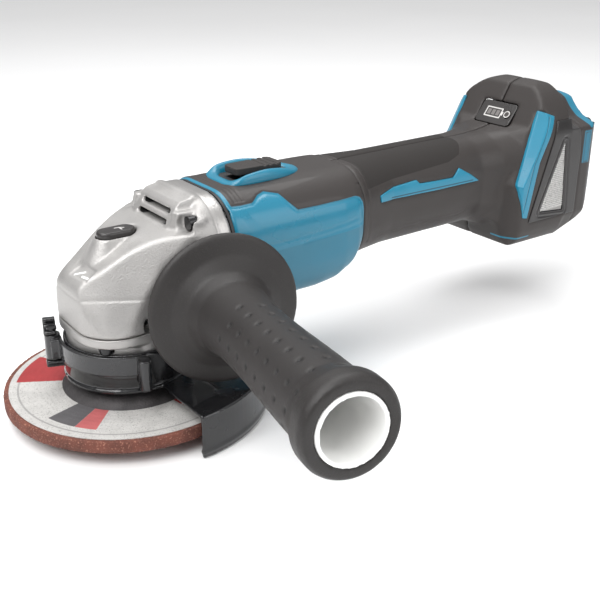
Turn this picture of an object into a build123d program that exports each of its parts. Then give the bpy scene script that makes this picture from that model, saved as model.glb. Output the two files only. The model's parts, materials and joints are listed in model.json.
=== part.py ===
from build123d import *
from math import cos, hypot, pi, radians, sin, tan
import os

# Cordless angle grinder, millimetres. The origin is the lower tip of the spindle, +Z runs up the
# spindle, +X runs along the tool to its battery foot, and the side handle points to -Y.

os.makedirs("parts", exist_ok=True)

# ---- clearances ----
FIT = 0.03          # running fit between a shaft and its bore, on the radius
LOOSE = 0.3         # air between curved faces that never touch
BALL_AIR = 0.05     # air round a bearing ball

# ---- grinding wheel, flange and lock nut ----
WHEEL_RADIUS = 62.5
WHEEL_THICKNESS = 6.0
WHEEL_RISE = 5.0            # how far the depressed centre stands above the rim
WHEEL_BORE_RADIUS = 11.115
WHEEL_BUSH_WALL = 1.3
HUB_FLAT_RADIUS = 24.0
HUB_FOOT_RADIUS = 33.5
LABEL_THICKNESS = 0.25
NOSE_LENGTH = 3.0           # free end of the spindle under the lock nut
NOSE_RELIEF = 0.6           # depth of the groove behind the free end
NUT_THICKNESS = 4.0
NUT_RADIUS = 19.0
FLANGE_RADIUS = 21.0
FLANGE_THICKNESS = 4.0
FLANGE_BOSS_HEIGHT = 2.0

# ---- spindle and its bearings ----
SPINDLE_RADIUS = 7.0
SPINDLE_SHOULDER_RADIUS = 8.5
SPINDLE_SEAT_RADIUS = 6.0
SPINDLE_TOP_RADIUS = 4.0
SHOULDER_HEIGHT = 7.0
LOWER_BEARING_RADIUS = 16.0
LOWER_BEARING_WIDTH = 10.0
RETAINER_THICKNESS = 2.0
BUSH_WALL = 2.0
BUSH_LENGTH = 8.0

# ---- bearing box ----
NECK_RADIUS = 29.5
NECK_HEIGHT = 19.0
RIM_THICKNESS = 4.5
SPIGOT_HEIGHT = 2.5
SPIGOT_WALL = 1.8

# ---- bevel gears ----
GEAR_TEETH = 34
PINION_TEETH = 11
GEAR_MODULE = 1.3
GEAR_FACE = 6.0
TOOTH_SHARE = 0.40          # tooth thickness as a share of the tooth pitch
ADDENDUM = 0.70             # in modules
DEDENDUM = 1.05             # in modules
GEAR_HUB_RADIUS = 8.2
GEAR_DEPTH = 8.0
LOCK_HOLES = 4
LOCK_HOLE_ORBIT = 9.4
LOCK_PIN_RADIUS = 2.0

# ---- gear housing ----
HEAD_HALF = 29.5            # half width of the square gear head
HEAD_CORNER = 20.0
BOX_SCREW_GRIP = 5.0        # depth of the bearing box screws in the housing
AXIS_HEIGHT = 71.0          # motor shaft above the spindle tip
HOUSING_REAR = 43.0
REAR_HALF = 34.5
HOUSING_TOP = 102.7
HOUSING_BOTTOM = 40.0
BARREL_CORNER = 23.0
PARTING_Z = 63.5            # top of the upright wall of the head
HUMP_HALF = 18.0            # half width of the vented hump
GEAR_ROOM_RADIUS = 24.8
ROOM_NARROWING = 2.5        # the gear room narrows by this under its roof
HEAD_SCREW_OFFSET = 20.4
BODY_SCREW_X = 26.0
BODY_SCREW_Y = 26.0
BODY_SCREW_Z = 22.5         # above and below the motor axis
SCREW_RADIUS = 2.0
SCREW_HEAD_RADIUS = 3.4
SCREW_HEAD_HEIGHT = 3.2

# ---- motor ----
SHAFT_RADIUS = 4.0
MOTOR_BEARING_RADIUS = 11.0
MOTOR_BEARING_WIDTH = 7.0
FRONT_BEARING_X = 34.0
REAR_BEARING_X = 106.0
FAN_X = 50.0
FAN_RADIUS = 25.5
FAN_DEPTH = 8.0
FAN_BLADES = 13
STATOR_X = 66.0
STATOR_LENGTH = 30.0
STATOR_RADIUS = 26.0
STATOR_BORE = 13.0
STATOR_TEETH = 6
TOOTH_WIDTH = 6.0
COIL_OVERHANG = 4.5
ROTOR_RADIUS = 12.2
MAGNET_WALL = 2.2

# ---- motor housing ----
BAFFLE_THICKNESS = 1.5
BARREL_REAR = 100.0         # where the barrel starts to taper
MOTOR_REAR = 126.0
REAR_WALL = 3.5

# ---- grip shells ----
SHELL_WALL = 2.6
GRIP_FRONT_HALF = 31.0
GRIP_HALF = 24.0
GRIP_BOTTOM = 51.7
GRIP_TOP = 103.2
GRIP_CORNER = 20.0
GRIP_WAIST_X = 152.0
GRIP_END_X = 222.0
FOOT_HALF = 38.0
FOOT_REAR = 306.0
FOOT_BOTTOM = 37.0
FOOT_TOP = 132.5
FOOT_FRONT = 236.0
FOOT_CORNER = 31.0
FOOT_KEEL_CORNER = 12.0
SHOULDER_LOW = 76.0         # between these heights the square foot turns into the round hump
SHOULDER_HIGH = 122.0
RAIL_PLATE_X = 281.0        # where the hump gives way to the battery rail plate

# ---- slide switch ----
SWITCH_TRAVEL = 6.0
KNOB_X = 63.0
KNOB_LENGTH = 24.0
KNOB_HALF = 6.6
BEZEL_FRONT = 54.0
BEZEL_REAR = 100.0
BEZEL_HALF = 12.8
BEZEL_FLOOR = 1.6
BEZEL_WALL_HEIGHT = 4.6
ROD_HALF = 5.0
ROD_THICKNESS = 1.5
ROD_HEIGHT = 98.1
ROD_END = 160.0

PIVOT_X = 75.0              # pin that the knob rocks on
PIVOT_Z = 102.3
PIVOT_PIN_RADIUS = 1.2
POST_HALF = 2.2
CHEEK_LENGTH = 8.0
CHEEK_OUTER = 4.8
KNOB_BOTTOM = 105.2
KNOB_TOP = 108.6

# ---- guard and its clamp ----
GUARD_RADIUS = 70.0
GUARD_SHEET = 1.8
GUARD_TOP = 17.5
GUARD_SKIRT_DEPTH = 22.0
BAND_TOP = 36.0
BAND_WALL = 1.8
LEVER_WALL = 2.0
LEVER_BOTTOM = 26.0
PIVOT_ANGLE = 160.0
PIVOT_RADIUS = 2.0
TAB_ANGLE = 256.0
TAB_BOTTOM = 20.5
TAB_REACH = 41.0            # outer end of the finger tab, from the spindle axis

# ---- side handle ----
HANDLE_FOOT = (27.1, -50.0, 57.35)   # centre of the hand flange
HANDLE_YAW = 11.8                    # outer end leans towards the wheel
HANDLE_PITCH = 3.0
HANDLE_LENGTH = 131.6
HANDLE_FLANGE_RADIUS = 36.7
HANDLE_END_RADIUS = 20.6
HANDLE_GRIP_RADIUS = 16.6
SLEEVE_RADIUS = 14.6
SLEEVE_WALL = 1.7
SLEEVE_START = 40.0
NECK_LENGTH = 11.3
STUD_RADIUS = 4.0
STUD_DEPTH = 14.0
BOSS_RADIUS = 12.5

# ---- heights that follow from the stack on the spindle ----
NUT_TOP = NOSE_LENGTH + NUT_THICKNESS
WHEEL_BOTTOM = NUT_TOP - WHEEL_RISE
WHEEL_TOP = WHEEL_BOTTOM + WHEEL_THICKNESS
HUB_TOP = NUT_TOP + WHEEL_THICKNESS
FLANGE_TOP = HUB_TOP + FLANGE_THICKNESS + FLANGE_BOSS_HEIGHT
LOWER_BEARING_Z = FLANGE_TOP + SHOULDER_HEIGHT
NECK_BOTTOM = FLANGE_TOP + 2.0
RIM_BOTTOM = NECK_BOTTOM + NECK_HEIGHT
RIM_TOP = RIM_BOTTOM + RIM_THICKNESS
RETAINER_Z = LOWER_BEARING_Z + LOWER_BEARING_WIDTH

# ---- bevel geometry: both pitch cones meet at the crossing of the axes ----
GEAR_PITCH = GEAR_MODULE * GEAR_TEETH / 2
PINION_PITCH = GEAR_MODULE * PINION_TEETH / 2
CONE_LENGTH = hypot(GEAR_PITCH, PINION_PITCH)
GEAR_PITCH_Z = AXIS_HEIGHT - PINION_PITCH
GEAR_BOTTOM = GEAR_PITCH_Z - GEAR_DEPTH
ROOF_Z = GEAR_PITCH_Z + 3.0
PINION_REAR = GEAR_PITCH + 2.0
PINION_FRONT = GEAR_PITCH * (CONE_LENGTH - GEAR_FACE) / CONE_LENGTH - 1.5

MOTOR_FRONT = HOUSING_REAR + BAFFLE_THICKNESS

yaw = radians(HANDLE_YAW)
pitch = radians(HANDLE_PITCH)
HANDLE_AXIS = Vector(-sin(yaw) * cos(pitch), -cos(yaw) * cos(pitch), sin(pitch))
FAR_AXIS = Vector(HANDLE_AXIS.X, -HANDLE_AXIS.Y, HANDLE_AXIS.Z)
HANDLE_ORIGIN = Vector(*HANDLE_FOOT)
FAR_ORIGIN = Vector(HANDLE_FOOT[0], -HANDLE_FOOT[1], HANDLE_FOOT[2])


def x_plane(x):
    """A sketch plane across the tool at x: local x is +Y and local y is +Z."""
    return Plane(origin=(x, 0, 0), x_dir=(0, 1, 0), z_dir=(1, 0, 0))


def motor_plane(x):
    """The same plane, centred on the motor shaft."""
    return Plane(origin=(x, 0, AXIS_HEIGHT), x_dir=(0, 1, 0), z_dir=(1, 0, 0))


def side_plane(y):
    """A sketch plane along the tool at y: local x is +X and local y is +Z, facing -Y."""
    return Plane(origin=(0, y, 0), x_dir=(1, 0, 0), z_dir=(0, -1, 0))


def ring(plane, outer, inner, length):
    """A plain ring, made on a plane along its normal."""
    with BuildPart() as made:
        with BuildSketch(plane):
            Circle(outer)
            if inner > 0:
                Circle(inner, mode=Mode.SUBTRACT)
        extrude(amount=length)
    return made.part


def balls(plane, orbit, radius, count):
    """Bearing balls on one circle, as separate solids."""
    with BuildPart() as made:
        with Locations(plane):
            with PolarLocations(orbit, count):
                Sphere(radius)
    return made.part


def bearing(name, plane, bore, outside, width):
    """Two races and their balls, each written as its own piece."""
    wall = (outside - bore) * 0.3
    inner = ring(plane, bore + wall, bore, width)
    inner.label = f"{name}_inner_race"
    export_step(inner, f"parts/{name}_inner_race.step")
    outer = ring(plane, outside, outside - wall, width)
    outer.label = f"{name}_outer_race"
    export_step(outer, f"parts/{name}_outer_race.step")
    gap = outside - bore - 2 * wall
    middle = plane.offset(width / 2)
    rolling = balls(middle, (bore + outside) / 2, gap / 2 - BALL_AIR, 8)
    rolling.label = f"{name}_balls"
    export_step(rolling, f"parts/{name}_balls.step")


def bevel_tooth(pitch_radius, other_pitch, teeth, axis_plane):
    """One straight bevel tooth, lofted from the large end towards the cone's apex.

    axis_plane stands at the apex with its z along the gear's axis, towards the gear."""
    direction = Vector(pitch_radius, 0, other_pitch).normalized()
    half = pi * GEAR_MODULE * TOOTH_SHARE / 2
    high = GEAR_MODULE * ADDENDUM
    low = GEAR_MODULE * DEDENDUM + 0.4
    lean = tan(radians(20))
    with BuildPart() as tooth:
        for distance in (CONE_LENGTH, CONE_LENGTH - GEAR_FACE):
            share = distance / CONE_LENGTH
            plane = Plane(origin=direction * distance, x_dir=(0, 1, 0), z_dir=direction)
            up = 1 if plane.y_dir.X * -other_pitch + plane.y_dir.Z * pitch_radius < 0 else -1
            with BuildSketch(axis_plane * Location(plane)):
                with BuildLine():
                    Polyline(
                        (share * (half + low * lean), -share * low * up),
                        (share * (half - high * lean), share * high * up),
                        (-share * (half - high * lean), share * high * up),
                        (-share * (half + low * lean), -share * low * up),
                        close=True,
                    )
                make_face()
        loft()
    return tooth.part


# ======================= grinding wheel on its spindle =======================

with BuildPart() as grinding_wheel:
    with BuildSketch(Plane.XZ):
        with BuildLine():
            Polyline(
                (WHEEL_BORE_RADIUS + WHEEL_BUSH_WALL, NUT_TOP),
                (HUB_FLAT_RADIUS, NUT_TOP),
                (HUB_FOOT_RADIUS - 2.0, WHEEL_BOTTOM),
                (WHEEL_RADIUS, WHEEL_BOTTOM),
                (WHEEL_RADIUS, WHEEL_TOP),
                (HUB_FOOT_RADIUS, WHEEL_TOP),
                (HUB_FOOT_RADIUS - 2.5, WHEEL_TOP + 2.2),
                (HUB_FLAT_RADIUS + 3.0, HUB_TOP - 0.6),
                (HUB_FLAT_RADIUS, HUB_TOP),
                (WHEEL_BORE_RADIUS + WHEEL_BUSH_WALL, HUB_TOP),
                close=True,
            )
        make_face()
    revolve(axis=Axis.Z)
grinding_wheel.part.label = "grinding_wheel"
export_step(grinding_wheel.part, "parts/grinding_wheel.step")

with BuildPart() as wheel_bush:
    with BuildSketch(Plane.XY.offset(NUT_TOP)):
        Circle(WHEEL_BORE_RADIUS + WHEEL_BUSH_WALL)
        Circle(WHEEL_BORE_RADIUS, mode=Mode.SUBTRACT)
    extrude(amount=WHEEL_THICKNESS)
wheel_bush.part.label = "wheel_bush"
export_step(wheel_bush.part, "parts/wheel_bush.step")

with BuildPart() as wheel_label:
    with BuildSketch(Plane.XY.offset(WHEEL_TOP)):
        Circle(WHEEL_RADIUS - 2.5)
        Circle(HUB_FOOT_RADIUS, mode=Mode.SUBTRACT)
    extrude(amount=LABEL_THICKNESS)
wheel_label.part.label = "wheel_label"
export_step(wheel_label.part, "parts/wheel_label.step")

with BuildPart() as inner_flange:
    with BuildSketch(Plane.XY.offset(HUB_TOP)):
        Circle(FLANGE_RADIUS)
    extrude(amount=FLANGE_THICKNESS)
    chamfer(inner_flange.edges().filter_by(GeomType.CIRCLE).sort_by(Axis.Z)[-1], 1.0)
    with BuildSketch(Plane.XY.offset(HUB_TOP + FLANGE_THICKNESS)):
        Circle(FLANGE_RADIUS - 8.0)
    extrude(amount=FLANGE_BOSS_HEIGHT)
    with BuildSketch(Plane.XY.offset(NUT_TOP + 2.5)):
        Circle(WHEEL_BORE_RADIUS - 0.1)
    extrude(amount=HUB_TOP - NUT_TOP - 2.5)
    with BuildSketch(Plane.XY.offset(NUT_TOP + 2.5)):
        Circle(SPINDLE_RADIUS + FIT)
    extrude(amount=FLANGE_TOP - NUT_TOP - 2.5, mode=Mode.SUBTRACT)
inner_flange.part.label = "inner_flange"
export_step(inner_flange.part, "parts/inner_flange.step")

with BuildPart() as lock_nut:
    with BuildSketch(Plane.XY.offset(NOSE_LENGTH)):
        Circle(NUT_RADIUS)
    extrude(amount=NUT_THICKNESS)
    chamfer(lock_nut.edges().filter_by(GeomType.CIRCLE).sort_by(Axis.Z)[0], 0.8)
    with BuildSketch(Plane.XY.offset(NUT_TOP)):
        Circle(WHEEL_BORE_RADIUS - 0.1)
    extrude(amount=1.8)
    with BuildSketch(Plane.XY.offset(NOSE_LENGTH)):
        Circle(SPINDLE_RADIUS + FIT)
    extrude(amount=NUT_THICKNESS + 1.8, mode=Mode.SUBTRACT)
    with BuildSketch(Plane.XY.offset(NOSE_LENGTH)):
        with PolarLocations(NUT_RADIUS - 4.0, 4):
            Circle(2.3)
    extrude(amount=3.0, mode=Mode.SUBTRACT)
lock_nut.part.label = "lock_nut"
export_step(lock_nut.part, "parts/lock_nut.step")

with BuildPart() as spindle:
    with BuildSketch(Plane.XY):
        Circle(SPINDLE_RADIUS)
    extrude(amount=FLANGE_TOP)
    with BuildSketch(Plane.XY.offset(FLANGE_TOP)):
        Circle(SPINDLE_SHOULDER_RADIUS)
    extrude(amount=SHOULDER_HEIGHT)
    with BuildSketch(Plane.XY.offset(LOWER_BEARING_Z)):
        Circle(SPINDLE_SEAT_RADIUS)
    extrude(amount=GEAR_PITCH_Z - LOWER_BEARING_Z)
    with BuildSketch(Plane.XY.offset(GEAR_PITCH_Z)):
        Circle(SPINDLE_TOP_RADIUS)
    extrude(amount=ROOF_Z + BUSH_LENGTH - GEAR_PITCH_Z)
    with BuildSketch(Plane.XY.offset(NOSE_LENGTH)):
        Circle(SPINDLE_RADIUS + 1.0)
        Circle(SPINDLE_RADIUS - NOSE_RELIEF, mode=Mode.SUBTRACT)
    extrude(amount=1.2, mode=Mode.SUBTRACT)
spindle.part.label = "spindle"
export_step(spindle.part, "parts/spindle.step")

gear_apex = Plane(origin=(0, 0, AXIS_HEIGHT), x_dir=(1, 0, 0), z_dir=(0, 0, -1))
gear_tooth = bevel_tooth(GEAR_PITCH, PINION_PITCH, GEAR_TEETH, gear_apex)
gear_slope = PINION_PITCH / GEAR_PITCH
gear_inner = GEAR_PITCH * (CONE_LENGTH - GEAR_FACE) / CONE_LENGTH
gear_drop = GEAR_MODULE * DEDENDUM

with BuildPart() as bevel_gear:
    with BuildSketch(Plane.XZ):
        with BuildLine():
            Polyline(
                (SPINDLE_SEAT_RADIUS, GEAR_BOTTOM),
                (GEAR_PITCH - 3.0, GEAR_BOTTOM),
                (GEAR_PITCH + 0.2, GEAR_BOTTOM + 3.0),
                (GEAR_PITCH - 0.1, GEAR_PITCH_Z - gear_drop),
                (gear_inner, GEAR_PITCH_Z - gear_drop + (GEAR_PITCH - gear_inner) * gear_slope * 0.85),
                (gear_inner - 1.0, GEAR_PITCH_Z - 2.0),
                (SPINDLE_SEAT_RADIUS, GEAR_PITCH_Z - 2.0),
                close=True,
            )
        make_face()
    revolve(axis=Axis.Z)
    with PolarLocations(0, GEAR_TEETH):
        add(gear_tooth)
    with BuildSketch(Plane.XY.offset(GEAR_BOTTOM)):
        with PolarLocations(LOCK_HOLE_ORBIT, LOCK_HOLES):
            Circle(LOCK_PIN_RADIUS + LOOSE)
    extrude(amount=GEAR_DEPTH + 2.0, mode=Mode.SUBTRACT)
bevel_gear.part.label = "bevel_gear"
export_step(bevel_gear.part, "parts/bevel_gear.step")

with BuildPart() as gear_spacer:
    with BuildSketch(Plane.XY.offset(RETAINER_Z)):
        Circle(GEAR_HUB_RADIUS)
        Circle(SPINDLE_SEAT_RADIUS, mode=Mode.SUBTRACT)
    extrude(amount=GEAR_BOTTOM - RETAINER_Z)
gear_spacer.part.label = "gear_spacer"
export_step(gear_spacer.part, "parts/gear_spacer.step")

bearing("spindle_bearing", Plane.XY.offset(LOWER_BEARING_Z), SPINDLE_SEAT_RADIUS,
        LOWER_BEARING_RADIUS, LOWER_BEARING_WIDTH)

with BuildPart() as spindle_top_bush:
    with BuildSketch(Plane.XY.offset(ROOF_Z)):
        Circle(SPINDLE_TOP_RADIUS + BUSH_WALL)
        Circle(SPINDLE_TOP_RADIUS + FIT, mode=Mode.SUBTRACT)
    extrude(amount=BUSH_LENGTH)
spindle_top_bush.part.label = "spindle_top_bush"
export_step(spindle_top_bush.part, "parts/spindle_top_bush.step")

# ======================= bearing box under the gear head =======================

with BuildPart() as bearing_box:
    with BuildSketch(Plane.XY.offset(RIM_BOTTOM)):
        RectangleRounded(2 * HEAD_HALF, 2 * HEAD_HALF, HEAD_CORNER)
    extrude(amount=RIM_THICKNESS)
    with BuildSketch(Plane.XY.offset(NECK_BOTTOM)):
        Circle(NECK_RADIUS)
    extrude(amount=NECK_HEIGHT)
    with BuildSketch(Plane.XY.offset(RIM_TOP)):
        Circle(GEAR_ROOM_RADIUS - 0.2)
    extrude(amount=SPIGOT_HEIGHT)
    with BuildSketch(Plane.XY.offset(NECK_BOTTOM)):
        Circle(LOWER_BEARING_RADIUS - 2.5)
    extrude(amount=RIM_TOP - NECK_BOTTOM, mode=Mode.SUBTRACT)
    with BuildSketch(Plane.XY.offset(LOWER_BEARING_Z)):
        Circle(LOWER_BEARING_RADIUS)
    extrude(amount=RIM_TOP - LOWER_BEARING_Z, mode=Mode.SUBTRACT)
    with BuildSketch(Plane.XY.offset(RIM_TOP - 1.5)):
        Circle(GEAR_ROOM_RADIUS - 0.2 - SPIGOT_WALL)
    extrude(amount=SPIGOT_HEIGHT + 2.0, mode=Mode.SUBTRACT)
    with BuildSketch(Plane.XY.offset(RIM_BOTTOM - SCREW_HEAD_HEIGHT - 0.5)):
        with GridLocations(2 * HEAD_SCREW_OFFSET, 2 * HEAD_SCREW_OFFSET, 2, 2):
            Circle(SCREW_HEAD_RADIUS + LOOSE)
    extrude(amount=SCREW_HEAD_HEIGHT + 0.5, mode=Mode.SUBTRACT)
    with BuildSketch(Plane.XY.offset(RIM_BOTTOM)):
        with GridLocations(2 * HEAD_SCREW_OFFSET, 2 * HEAD_SCREW_OFFSET, 2, 2):
            Circle(SCREW_RADIUS + 0.2)
    extrude(amount=RIM_THICKNESS, mode=Mode.SUBTRACT)
bearing_box.part.label = "bearing_box"
export_step(bearing_box.part, "parts/bearing_box.step")

with BuildPart() as bearing_box_screws:
    with BuildSketch(Plane.XY.offset(RIM_BOTTOM - SCREW_HEAD_HEIGHT)):
        with GridLocations(2 * HEAD_SCREW_OFFSET, 2 * HEAD_SCREW_OFFSET, 2, 2):
            Circle(SCREW_HEAD_RADIUS)
    extrude(amount=SCREW_HEAD_HEIGHT)
    with BuildSketch(Plane.XY.offset(RIM_BOTTOM)):
        with GridLocations(2 * HEAD_SCREW_OFFSET, 2 * HEAD_SCREW_OFFSET, 2, 2):
            Circle(SCREW_RADIUS)
    extrude(amount=RIM_THICKNESS + BOX_SCREW_GRIP)
bearing_box_screws.part.label = "bearing_box_screws"
export_step(bearing_box_screws.part, "parts/bearing_box_screws.step")

with BuildPart() as bearing_retainer:
    with BuildSketch(Plane.XY.offset(RETAINER_Z)):
        Circle(LOWER_BEARING_RADIUS - FIT)
        Circle(GEAR_HUB_RADIUS + 1.8, mode=Mode.SUBTRACT)
    extrude(amount=RETAINER_THICKNESS)
bearing_retainer.part.label = "bearing_retainer"
export_step(bearing_retainer.part, "parts/bearing_retainer.step")

# ======================= gear housing =======================

BUTTON_X = -1.8
BUTTON_LENGTH = 19.6
BUTTON_WIDTH = 10.5
BUTTON_SEAT = 83.5

handle_seat = Plane(origin=HANDLE_ORIGIN - HANDLE_AXIS * NECK_LENGTH, z_dir=-HANDLE_AXIS)
far_seat = Plane(origin=FAR_ORIGIN - FAR_AXIS * NECK_LENGTH, z_dir=-FAR_AXIS)

with BuildPart() as gear_housing:
    # side outline of the casting: upright wall, sloping plate, rise to the barrel
    with BuildSketch(Plane.XZ):
        with BuildLine():
            Line((-HEAD_HALF, RIM_TOP), (-HEAD_HALF, PARTING_Z))
            Spline(
                (-HEAD_HALF, PARTING_Z),
                (-HEAD_HALF + 2.2, PARTING_Z + 5.0),
                (-20.0, 73.5),
                (-8.0, 81.0),
                (2.0, 86.0),
                (10.0, 88.5),
                (17.0, 89.5),
            )
            Spline((17.0, 89.5), (25.0, 95.0), (34.0, HOUSING_TOP))
            Polyline(
                (34.0, HOUSING_TOP),
                (HOUSING_REAR, HOUSING_TOP),
                (HOUSING_REAR, HOUSING_BOTTOM),
                (33.0, HOUSING_BOTTOM + 2.0),
                (29.6, RIM_TOP),
                (-HEAD_HALF, RIM_TOP),
            )
        make_face()
    extrude(amount=REAR_HALF, both=True)
    # plan outline: square head, widening to the barrel
    with BuildSketch(Plane.XY.offset(HOUSING_BOTTOM - 1)):
        with Locations((-HEAD_HALF + 40.0, 0)):
            RectangleRounded(80.0, 2 * HEAD_HALF, HEAD_CORNER)
        with BuildLine():
            Polyline(
                (8.0, -HEAD_HALF),
                (30.0, -REAR_HALF),
                (60.0, -REAR_HALF),
                (60.0, REAR_HALF),
                (30.0, REAR_HALF),
                (8.0, HEAD_HALF),
                close=True,
            )
        make_face()
    extrude(amount=HOUSING_TOP - HOUSING_BOTTOM + 10, mode=Mode.INTERSECT)
    # front outline: rounded shoulders
    with BuildSketch(x_plane(-HEAD_HALF - 1)):
        with Locations((0, (HOUSING_TOP + HOUSING_BOTTOM) / 2)):
            RectangleRounded(2 * REAR_HALF, HOUSING_TOP - HOUSING_BOTTOM, BARREL_CORNER)
        with Locations((0, (RIM_TOP + PARTING_Z) / 2)):
            Rectangle(2 * HEAD_HALF, PARTING_Z - RIM_TOP)
    extrude(amount=HEAD_HALF + HOUSING_REAR + 2, mode=Mode.INTERSECT)
    # facets that fall from the edges of the sloping plate to the upright wall
    for side in (-1, 1):
        plate_front = Vector(-27.0, side * 13.0, 66.6)
        plate_rear = Vector(8.0, side * 25.0, 87.0)
        wall_top = Vector(0, side * HEAD_HALF, PARTING_Z + 3.0)
        run = plate_rear - plate_front
        outward = run.cross(wall_top - plate_front) * side
        with BuildSketch(Plane(origin=plate_front, x_dir=run, z_dir=outward)):
            Rectangle(200.0, 200.0)
        extrude(amount=40.0, mode=Mode.SUBTRACT)
    # vented hump, its rib and the lips of the upper screw pockets
    with BuildSketch(Plane.XZ):
        with BuildLine():
            Polyline(
                (12.0, 86.0),
                (17.0, 88.5),
                (21.0, 96.5),
                (23.2, 99.8),
                (26.0, 101.0),
                (29.0, 101.3),
                (30.0, HOUSING_TOP + 0.8),
                (32.5, HOUSING_TOP + 0.8),
                (34.0, HOUSING_TOP - 0.5),
                (34.0, 86.0),
                close=True,
            )
        make_face()
    extrude(amount=HUMP_HALF, both=True)
    with BuildSketch(Plane.XY.offset(82.0)):
        for side in (-1, 1):
            with Locations((26.0, side * 25.0)):
                RectangleRounded(12.0, 12.0, 3.5)
    extrude(amount=14.0)
    # handle bosses
    for seat in (handle_seat, far_seat):
        with BuildSketch(seat):
            Circle(BOSS_RADIUS)
        extrude(amount=16.0)
    with BuildSketch(x_plane(HOUSING_REAR)):
        with Locations((0, RIM_TOP)):
            Rectangle(100.0, 100.0)
    extrude(amount=10.0, mode=Mode.SUBTRACT)
    # room for the big gear, the pinion and the front motor bearing
    with BuildSketch(Plane.XY.offset(RIM_TOP - 5)):
        Circle(GEAR_ROOM_RADIUS)
    extrude(amount=ROOF_Z - RIM_TOP + 5 - ROOM_NARROWING, mode=Mode.SUBTRACT)
    with BuildSketch(Plane.XY.offset(ROOF_Z - ROOM_NARROWING)):
        Circle(GEAR_ROOM_RADIUS)
    with BuildSketch(Plane.XY.offset(ROOF_Z)):
        Circle(GEAR_ROOM_RADIUS - ROOM_NARROWING)
    loft(mode=Mode.SUBTRACT)
    with BuildSketch(motor_plane(PINION_FRONT - 2.5)):
        Circle(PINION_PITCH + 3.0)
    extrude(amount=FRONT_BEARING_X - PINION_FRONT + 2.5, mode=Mode.SUBTRACT)
    with BuildSketch(motor_plane(FRONT_BEARING_X)):
        Circle(MOTOR_BEARING_RADIUS)
    extrude(amount=HOUSING_REAR - FRONT_BEARING_X, mode=Mode.SUBTRACT)
    with BuildSketch(motor_plane(FRONT_BEARING_X + MOTOR_BEARING_WIDTH)):
        Circle(FAN_RADIUS + 1.0)
        Circle(MOTOR_BEARING_RADIUS + 2.5, mode=Mode.SUBTRACT)
    extrude(amount=HOUSING_REAR - FRONT_BEARING_X - MOTOR_BEARING_WIDTH, mode=Mode.SUBTRACT)
    # curved air slots in the front wall of the hump
    for low, high in ((90.3, 92.3), (95.2, 97.4)):
        with BuildSketch(x_plane(12.0)):
            with Locations((0, (low + high) / 2)):
                SlotOverall(30.0, high - low + 1.0)
        extrude(amount=16.5, mode=Mode.SUBTRACT)
    # top bush and lock pin bores
    with BuildSketch(Plane.XY.offset(ROOF_Z)):
        Circle(SPINDLE_TOP_RADIUS + BUSH_WALL)
    extrude(amount=BUSH_LENGTH + 0.5, mode=Mode.SUBTRACT)
    with BuildSketch(Plane.XY.offset(ROOF_Z - 1)):
        with Locations((-LOCK_HOLE_ORBIT, 0)):
            Circle(LOCK_PIN_RADIUS + FIT)
    extrude(amount=60, mode=Mode.SUBTRACT)
    # pocket of the lock button
    with BuildSketch(Plane.XY.offset(BUTTON_SEAT - 5.0)):
        with Locations((BUTTON_X, 0)):
            SlotOverall(BUTTON_LENGTH + 0.8, BUTTON_WIDTH + 0.8)
    extrude(amount=40, mode=Mode.SUBTRACT)
    # pockets and holes of the four long body screws
    for height in (-BODY_SCREW_Z, BODY_SCREW_Z):
        with BuildSketch(motor_plane(BODY_SCREW_X - 30.0)):
            with Locations((-BODY_SCREW_Y, height), (BODY_SCREW_Y, height)):
                Circle(SCREW_HEAD_RADIUS + 1.0)
        extrude(amount=30.0, mode=Mode.SUBTRACT)
        with BuildSketch(motor_plane(BODY_SCREW_X)):
            with Locations((-BODY_SCREW_Y, height), (BODY_SCREW_Y, height)):
                Circle(SCREW_RADIUS + 0.2)
        extrude(amount=30.0, mode=Mode.SUBTRACT)
    # threads of the bearing box screws
    with BuildSketch(Plane.XY.offset(RIM_TOP)):
        with GridLocations(2 * HEAD_SCREW_OFFSET, 2 * HEAD_SCREW_OFFSET, 2, 2):
            Circle(SCREW_RADIUS + FIT)
    extrude(amount=BOX_SCREW_GRIP + 0.5, mode=Mode.SUBTRACT)
    # handle holes
    for seat in (handle_seat, far_seat):
        with BuildSketch(seat):
            Circle(STUD_RADIUS + FIT)
        extrude(amount=STUD_DEPTH + 1.0, mode=Mode.SUBTRACT)
gear_housing.part.label = "gear_housing"
export_step(gear_housing.part, "parts/gear_housing.step")

with BuildPart() as housing_screws:
    for height in (-BODY_SCREW_Z, BODY_SCREW_Z):
        with BuildSketch(motor_plane(BODY_SCREW_X - SCREW_HEAD_HEIGHT)):
            with Locations((-BODY_SCREW_Y, height), (BODY_SCREW_Y, height)):
                Circle(SCREW_HEAD_RADIUS)
        extrude(amount=SCREW_HEAD_HEIGHT)
        with BuildSketch(motor_plane(BODY_SCREW_X)):
            with Locations((-BODY_SCREW_Y, height), (BODY_SCREW_Y, height)):
                Circle(SCREW_RADIUS)
        extrude(amount=HOUSING_REAR - BODY_SCREW_X + 14.0)
housing_screws.part.label = "housing_screws"
export_step(housing_screws.part, "parts/housing_screws.step")

# ======================= shaft lock =======================

LOCK_PIN_TIP = GEAR_PITCH_Z - 2.0 + 1.2

with BuildPart() as lock_button:
    with BuildSketch(Plane.XY.offset(BUTTON_SEAT)):
        with Locations((BUTTON_X, 0)):
            SlotOverall(BUTTON_LENGTH, BUTTON_WIDTH)
    extrude(amount=5.4)
    fillet(lock_button.faces().sort_by(Axis.Z)[-1].edges(), 1.8)
lock_button.part.label = "lock_button"
export_step(lock_button.part, "parts/lock_button.step")

with BuildPart() as lock_pin:
    with BuildSketch(Plane.XY.offset(LOCK_PIN_TIP)):
        with Locations((-LOCK_HOLE_ORBIT, 0)):
            Circle(LOCK_PIN_RADIUS)
    extrude(amount=BUTTON_SEAT - LOCK_PIN_TIP)
lock_pin.part.label = "lock_pin"
export_step(lock_pin.part, "parts/lock_pin.step")

# ======================= motor =======================

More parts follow.
